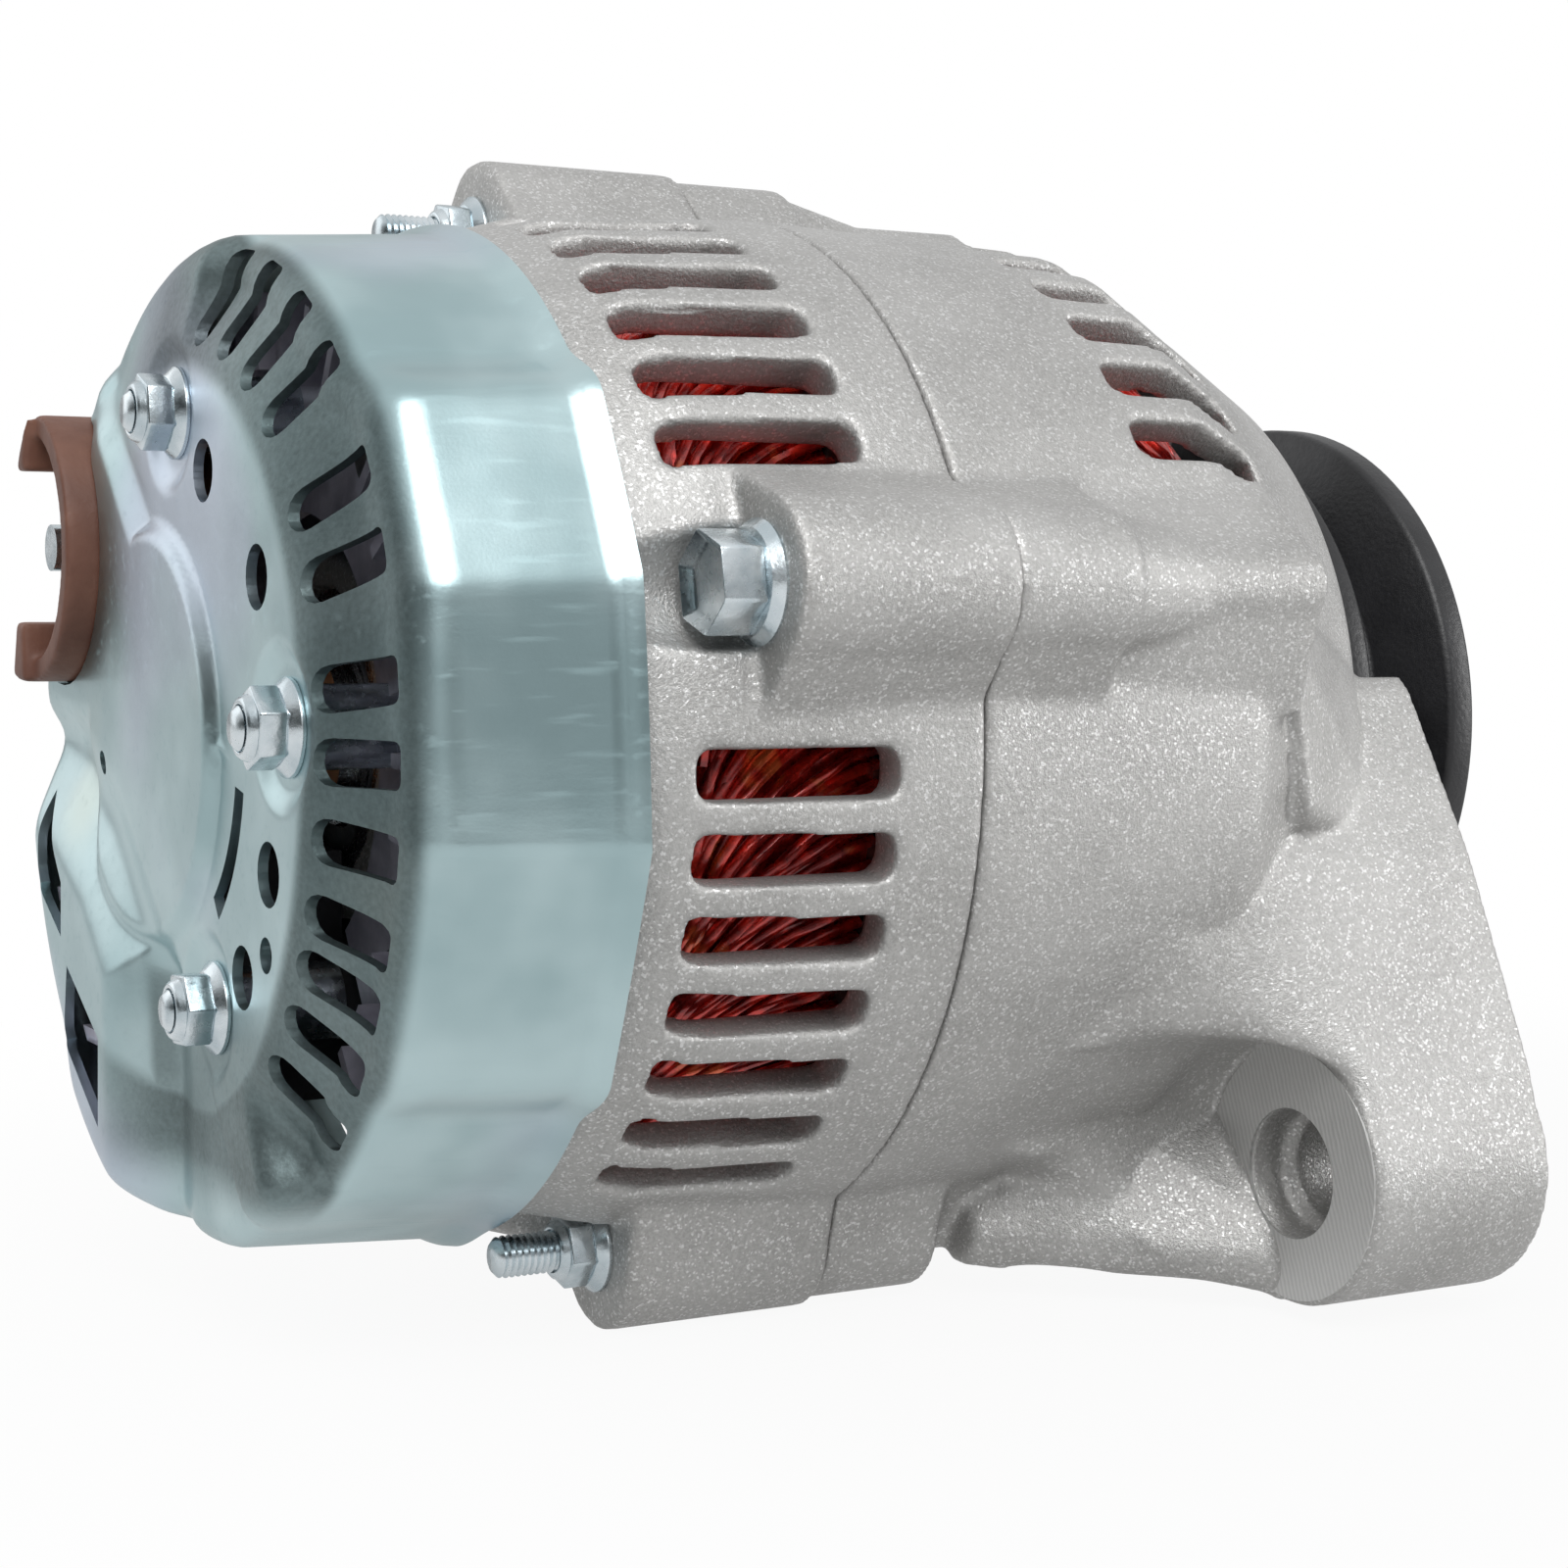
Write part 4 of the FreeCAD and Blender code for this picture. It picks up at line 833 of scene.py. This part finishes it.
def coverFasteners():
    bm = bmesh.new()
    for index, (y, z) in enumerate(cover["nuts"]):
        flangeNut(bm, cover["seatLevel"], y, z, 22 + 17 * index)
    finish(bm, "coverFlangeNuts", materials["zincSteel"], "housing", 30, ("cover_nuts",))
    bm = bmesh.new()
    front = (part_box("cover_studs")[1].x - partingX) / mm
    for y, z in cover["nuts"]:
        threadedEnd(bm, fastener["coverStudEnd"], front, fastener["studRadius"], fastener["thread"], y, z)
    finish(bm, "coverStuds", materials["zincSteel"], "housing", 50, ("cover_studs",))


def frameFasteners():
    bm = bmesh.new()
    studs = bmesh.new()
    seat = fastener["frameSeat"]
    rear, front = [(corner.x - partingX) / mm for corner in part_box("frame_studs")]
    for angle in fastener["studAngles"]:
        spot = polar(0, fastener["circle"], angle)
        y, z = spot.y / mm, spot.z / mm
        flangeNut(bm, seat, y, z, 12)
        threadedEnd(studs, rear, front, fastener["studRadius"], fastener["thread"], y, z)
    finish(bm, "frameFlangeNuts", materials["zincSteel"], "housing", 30, ("frame_stud_nuts",))
    finish(studs, "frameStuds", materials["zincSteel"], "housing", 50, ("frame_studs",))
    bm = bmesh.new()
    lip = seat - fastener["boltFlangeHeight"]
    top = lip - fastener["boltHeight"]
    end = fastener["boltEnd"]
    shank = fastener["boltRadius"]
    flange = fastener["boltFlange"]
    for angle in fastener["boltAngles"]:
        spot = polar(0, fastener["circle"], angle)
        part = bmesh.new()
        spun(part, [(end, 0.0), (end, shank - 0.3), (end - 0.6, shank), (seat, shank), (seat, flange - 0.2),
                    (seat - 0.4, flange), (lip, flange - 0.9), (lip - 0.2, 4.6), (lip - 0.2, 0.0)], 48,
             close=False)
        head = bmesh.new()
        prism(head, hexRing(lip, fastener["boltFlats"], 20), Vector(((top - lip) * mm, 0, 0)))
        cap = min(head.faces, key=lambda face: face.calc_center_median().x)
        hollow = fastener["boltHollow"] * mm
        bmesh.ops.inset_region(head, faces=[cap], thickness=hollow, depth=0)
        bmesh.ops.translate(head, verts=cap.verts, vec=(hollow, 0, 0))
        bevelSharp(head, 0.35, 3)
        merge(part, head)
        bmesh.ops.translate(part, verts=part.verts, vec=(0, spot.y, spot.z))
        merge(bm, part)
    finish(bm, "frameFlangeBolts", materials["zincSteel"], "housing", 30, ("frame_bolts",))


pulley = {
    "plane": 80.7,
    "radius": 40.6,
    "halfWidth": 10.5,
    "grooveHalf": 6.5,
    "grooveDepth": 11.0,
    "floorHalf": 2.93,
    "hollow": 25.6,
    "hub": 17.0,
    "webHalf": 3.0,
    "back": 68.0,
    "front": 86.0,
    "bore": 8.5,
    "steps": 144,
}


def blackPulley():
    bm = bmesh.new()
    p = pulley
    middle = p["plane"]
    floor = p["radius"] - p["grooveDepth"]
    spun(bm, [
        (p["back"], p["bore"]), (p["back"], p["hub"]), (middle - p["webHalf"], p["hub"]),
        (middle - p["webHalf"], p["hollow"]), (middle - p["halfWidth"], p["hollow"] + 2),
        (middle - p["halfWidth"], p["radius"]), (middle - p["grooveHalf"], p["radius"]),
        (middle - p["floorHalf"], floor), (middle + p["floorHalf"], floor),
        (middle + p["grooveHalf"], p["radius"]), (middle + p["halfWidth"], p["radius"]),
        (middle + p["halfWidth"], p["hollow"] + 2), (middle + p["webHalf"], p["hollow"]),
        (middle + p["webHalf"], p["hub"]), (p["front"], p["hub"]), (p["front"], p["bore"]),
    ], p["steps"])
    bevelSharp(bm, 0.7, 3)
    finish(bm, "beltPulley", materials["blackPulley"], "rotor", 35, ("pulley",))


pivot = {
    "place": (-56.2, -53.0),
    "face": 48.62,
    "inner": 7.9,
    "outer": 15.3,
    "depth": 0.4,
    "ears": ((77.0, 4.0), (-28.0, 4.6)),   # angle round the hole, and how far the ear stands out
    "earWidth": 11.0,
}


def machinedRing():
    # sawn face round the pivot hole
    bm = bmesh.new()
    y, z = pivot["place"]
    face, back = pivot["face"], pivot["face"] + pivot["depth"]
    inner, outer = pivot["inner"], pivot["outer"]
    spun(bm, [(face, inner), (face, outer), (back, outer), (back, inner)], 144)
    for vert in bm.verts:
        if math.hypot(vert.co.y, vert.co.z) > (outer - 1) * mm:
            angle = math.degrees(math.atan2(vert.co.z, vert.co.y))
            swell = sum(size * math.exp(-((angle - middle) / pivot["earWidth"]) ** 2)
                        for middle, size in pivot["ears"])
            vert.co.yz = vert.co.yz * (1 + swell / outer)
    bmesh.ops.translate(bm, verts=bm.verts, vec=(0, y * mm, z * mm))
    finish(bm, "pivotFace", materials["sawn"], "housing")


moulding = {
    "voxel": 0.4,
    "soften": 12,
}


def insulator():
    # horseshoe wall with two horns, remeshed so that its edges turn soft like a moulding
    bm = bmesh.new()
    bm.from_mesh(nodes["terminal_insulator"].data)
    bmesh.ops.remove_doubles(bm, verts=bm.verts, dist=0.002 * mm)
    piece = loose(bm, "terminalWall")
    mesh = remeshed(piece, moulding)
    placed(mesh, "terminalWall", materials["brownPlastic"], "housing", 180, ("terminal_insulator",))


def trimmedSink():
    # fins end under the flat of the raised lobe
    bm = bmesh.new()
    bm.from_mesh(nodes["regulator_heat_sink"].data)
    nearFolds = cover["lobeFold"][1:5]   # the folds that face the fins
    for (y0, z0), (y1, z1) in zip(nearFolds, nearFolds[1:]):
        length = math.hypot(y1 - y0, z1 - z0)
        normal = Vector((0, -(z1 - z0) / length, (y1 - y0) / length))
        spot = Vector((0, y0 * mm, z0 * mm)) + normal * cover["lobeSlope"] * mm
        geometry = bm.verts[:] + bm.edges[:] + bm.faces[:]
        bmesh.ops.bisect_plane(bm, geom=geometry, plane_co=spot, plane_no=normal, clear_inner=True)
        bmesh.ops.holes_fill(bm, edges=[edge for edge in bm.edges if edge.is_boundary])
    finish(bm, "regulatorFins", materials["heatSink"], "housing", 30, ("regulator_heat_sink",))


def dressNodes():
    # finishes of the CAD nodes that stay as they are
    finishes = {
        "zincSteel": ("cover_spacers", "bearing_retainer", "retainer_screws", "lock_washer", "pulley_nut",
                      "output_stud", "output_nut"),
        "laminations": ("stator_core",),
        "steel": ("front_bearing_outer", "front_bearing_inner", "front_bearing_balls", "rear_bearing_outer",
                  "rear_bearing_inner", "rear_bearing_balls", "rotor_shaft", "brush_spring_rear",
                  "brush_spring_front"),
        "darkSteel": ("rotor_pole_front", "rotor_pole_rear", "fan_front", "fan_rear", "pulley_spacer",
                      "diodes_negative", "diodes_positive"),
        "heatSink": ("rectifier_negative_plate", "rectifier_positive_plate"),
        "blackPlastic": ("front_bearing_seals", "rear_bearing_seals", "field_bobbin", "slip_ring_sleeve",
                         "rectifier_bushes", "brush_holder", "voltage_regulator", "brush_rear",
                         "brush_front"),
        "copper": ("field_coil", "slip_rings"),
    }
    for name, members in finishes.items():
        for member in members:
            data = nodes[member].data
            data.materials.clear()
            data.materials.append(materials[name])


def makeMaterials():
    return {
        "zincCover": zincCoverMaterial(),
        "cast": castMaterial(),
        "zincSteel": zincSteelMaterial(),
        "burnished": burnishedMaterial(),
        "enamel": enamelMaterial(),
        "sawn": sawnMaterial(),
        "brownPlastic": plasticMaterial("brownPlastic", rgb(0.125, 0.05, 0.032), rgb(0.19, 0.085, 0.056),
                                        0.48, 0.62, 900.0, 0.0003),
        "blackPlastic": plasticMaterial("blackPlastic", rgb(0.012, 0.012, 0.014), rgb(0.03, 0.03, 0.034),
                                        0.4, 0.55, 900.0, 0.0003),
        "blackPulley": blackPaintMaterial(),
        "laminations": metalMaterial("laminations", rgb(0.10, 0.095, 0.09), rgb(0.26, 0.25, 0.24),
                                     0.4, 0.6, 300.0),
        "steel": metalMaterial("groundSteel", rgb(0.45, 0.45, 0.46), rgb(0.62, 0.62, 0.63), 0.2, 0.35, 300.0),
        "darkSteel": metalMaterial("darkSteel", rgb(0.10, 0.10, 0.105), rgb(0.2, 0.2, 0.205),
                                   0.35, 0.5, 300.0),
        "heatSink": metalMaterial("heatSink", rgb(0.30, 0.29, 0.36), rgb(0.48, 0.47, 0.55),
                                  0.35, 0.5, 200.0, 0.4),
        "copper": metalMaterial("copper", rgb(0.40, 0.17, 0.08), rgb(0.66, 0.33, 0.17), 0.25, 0.4, 300.0),
    }


def studioFloor():
    bm = bmesh.new()
    bmesh.ops.create_grid(bm, x_segments=1, y_segments=1, size=6.0)
    bmesh.ops.translate(bm, verts=bm.verts, vec=(0, 0, cadBox[0][2]))
    mesh = bpy.data.meshes.new("studioFloor")
    bm.to_mesh(mesh)
    bm.free()
    floor = bpy.data.objects.new("studioFloor", mesh)
    bpy.context.scene.collection.objects.link(floor)
    material = bpy.data.materials.new("floorWhite")
    material.use_nodes = True
    tree = material.node_tree
    shader = tree.nodes["Principled BSDF"]
    shader.inputs["Base Color"].default_value = rgb(0.5, 0.5, 0.5)
    shader.inputs["Roughness"].default_value = 0.8
    start = Wire(tree.nodes.new("ShaderNodeLightPath"))
    seen = start.out("Is Camera Ray")
    seen = seen.maths("MAXIMUM", seen, start.out("Is Glossy Ray") * 0.5)
    glow = start.make("Emission", {}, {"Color": rgb(1, 1, 1), "Strength": 1.0})
    mixed = tree.nodes.new("ShaderNodeMixShader")
    distance = start.make("VectorMath", {"operation": "LENGTH"},
                          {0: Wire(tree.nodes.new("ShaderNodeTexCoord"), "Object")}, output="Value")
    share = 0.93 + 0.07 * distance.step(0.10, 0.30)   # the shadow shows only near the part
    tree.links.new((seen * share).socket, mixed.inputs[0])
    tree.links.new(shader.outputs[0], mixed.inputs[1])
    tree.links.new(glow.socket, mixed.inputs[2])
    tree.links.new(mixed.outputs[0], tree.nodes["Material Output"].inputs["Surface"])
    mesh.materials.append(material)


def lightTent():
    world = bpy.data.worlds.new("studioWorld")
    world.use_nodes = True
    tree = world.node_tree
    background = tree.nodes["Background"]
    start = Wire(tree.nodes.new("ShaderNodeLightPath"))
    camera = start.out("Is Camera Ray")
    coordinates = Wire(tree.nodes.new("ShaderNodeTexCoord"), "Generated")
    height = start.make("SeparateXYZ", {}, {"Vector": coordinates}).out("Z")
    sky = height.step(-0.3, 0.9).mix(rgb(0.24, 0.245, 0.25), rgb(0.85, 0.855, 0.86))
    # dark openings of the light tent, to the left and straight in front
    leftward = start.make("VectorMath", {"operation": "DOT_PRODUCT"},
                          {0: coordinates, 1: (-0.96, -0.26, -0.05)}, output="Value")
    sky = leftward.step(0.70, 0.93).mix(sky, rgb(0.025, 0.03, 0.03))
    frontward = start.make("VectorMath", {"operation": "DOT_PRODUCT"},
                           {0: coordinates, 1: (-0.1, -0.99, -0.1)}, output="Value")
    sky = frontward.step(0.90, 0.99).mix(sky, rgb(0.05, 0.055, 0.055))
    colour = camera.mix(sky, rgb(1, 1, 1))
    tree.links.new(colour.socket, background.inputs["Color"])
    bpy.context.scene.world = world


def lamp(name, place, target, size, power):
    data = bpy.data.lights.new(name, "AREA")
    data.shape = "RECTANGLE"
    data.size = size[0]
    data.size_y = size[1]
    data.energy = power
    light = bpy.data.objects.new(name, data)
    bpy.context.scene.collection.objects.link(light)
    light.location = place
    light.rotation_euler = (Vector(target) - Vector(place)).to_track_quat("-Z", "Y").to_euler()


def lights():
    middle = (-0.08, 0, 0)
    lamp("keyTop", (-0.45, -0.85, 0.9), middle, (0.8, 0.7), 10.5)
    lamp("leftBack", (-0.9, 1.1, 0.5), middle, (1.1, 0.9), 2.2)
    lamp("rightFront", (1.15, -0.75, 0.20), middle, (0.3, 0.8), 7.5)


def cameraView():
    # place and heading solved from the photograph's own circles
    view = {
        "place": (-248.835, -323.691, 13.904),
        "right": (0.8763, -0.4817, 0.0),
        "forward": (0.4809, 0.8749, -0.0584),
        "lens": 65.087,
    }
    data = bpy.data.cameras.new("photoCamera")
    data.lens = view["lens"]
    data.sensor_width = 36
    data.clip_start = 0.01
    camera = bpy.data.objects.new("photoCamera", data)
    bpy.context.scene.collection.objects.link(camera)
    forward = Vector(view["forward"]).normalized()
    right = Vector(view["right"]).normalized()
    up = right.cross(forward)
    turn = Matrix((right, up, -forward)).transposed()
    camera.matrix_world = Matrix.Translation(Vector(view["place"]) * mm) @ turn.to_4x4()
    bpy.context.scene.camera = camera


materials = makeMaterials()
print("materials made")
rearCover()
castFromNode("rear_frame", "rearHousing")
castFromNode("drive_frame", "driveHousing")
print("castings made")
coilEnds("coilEndsRear", -8.0, -1, "stator_winding_rear", 23.0)
coilEnds("coilEndsFront", 24.0, 1, "stator_winding_front", 19.0)
print("windings made")
coverFasteners()
frameFasteners()
blackPulley()
machinedRing()
insulator()
trimmedSink()
print("fasteners, pulley and insulator made")
dressNodes()
studioFloor()
lightTent()
lights()
cameraView()
bpy.context.scene.view_settings.view_transform = "Standard"
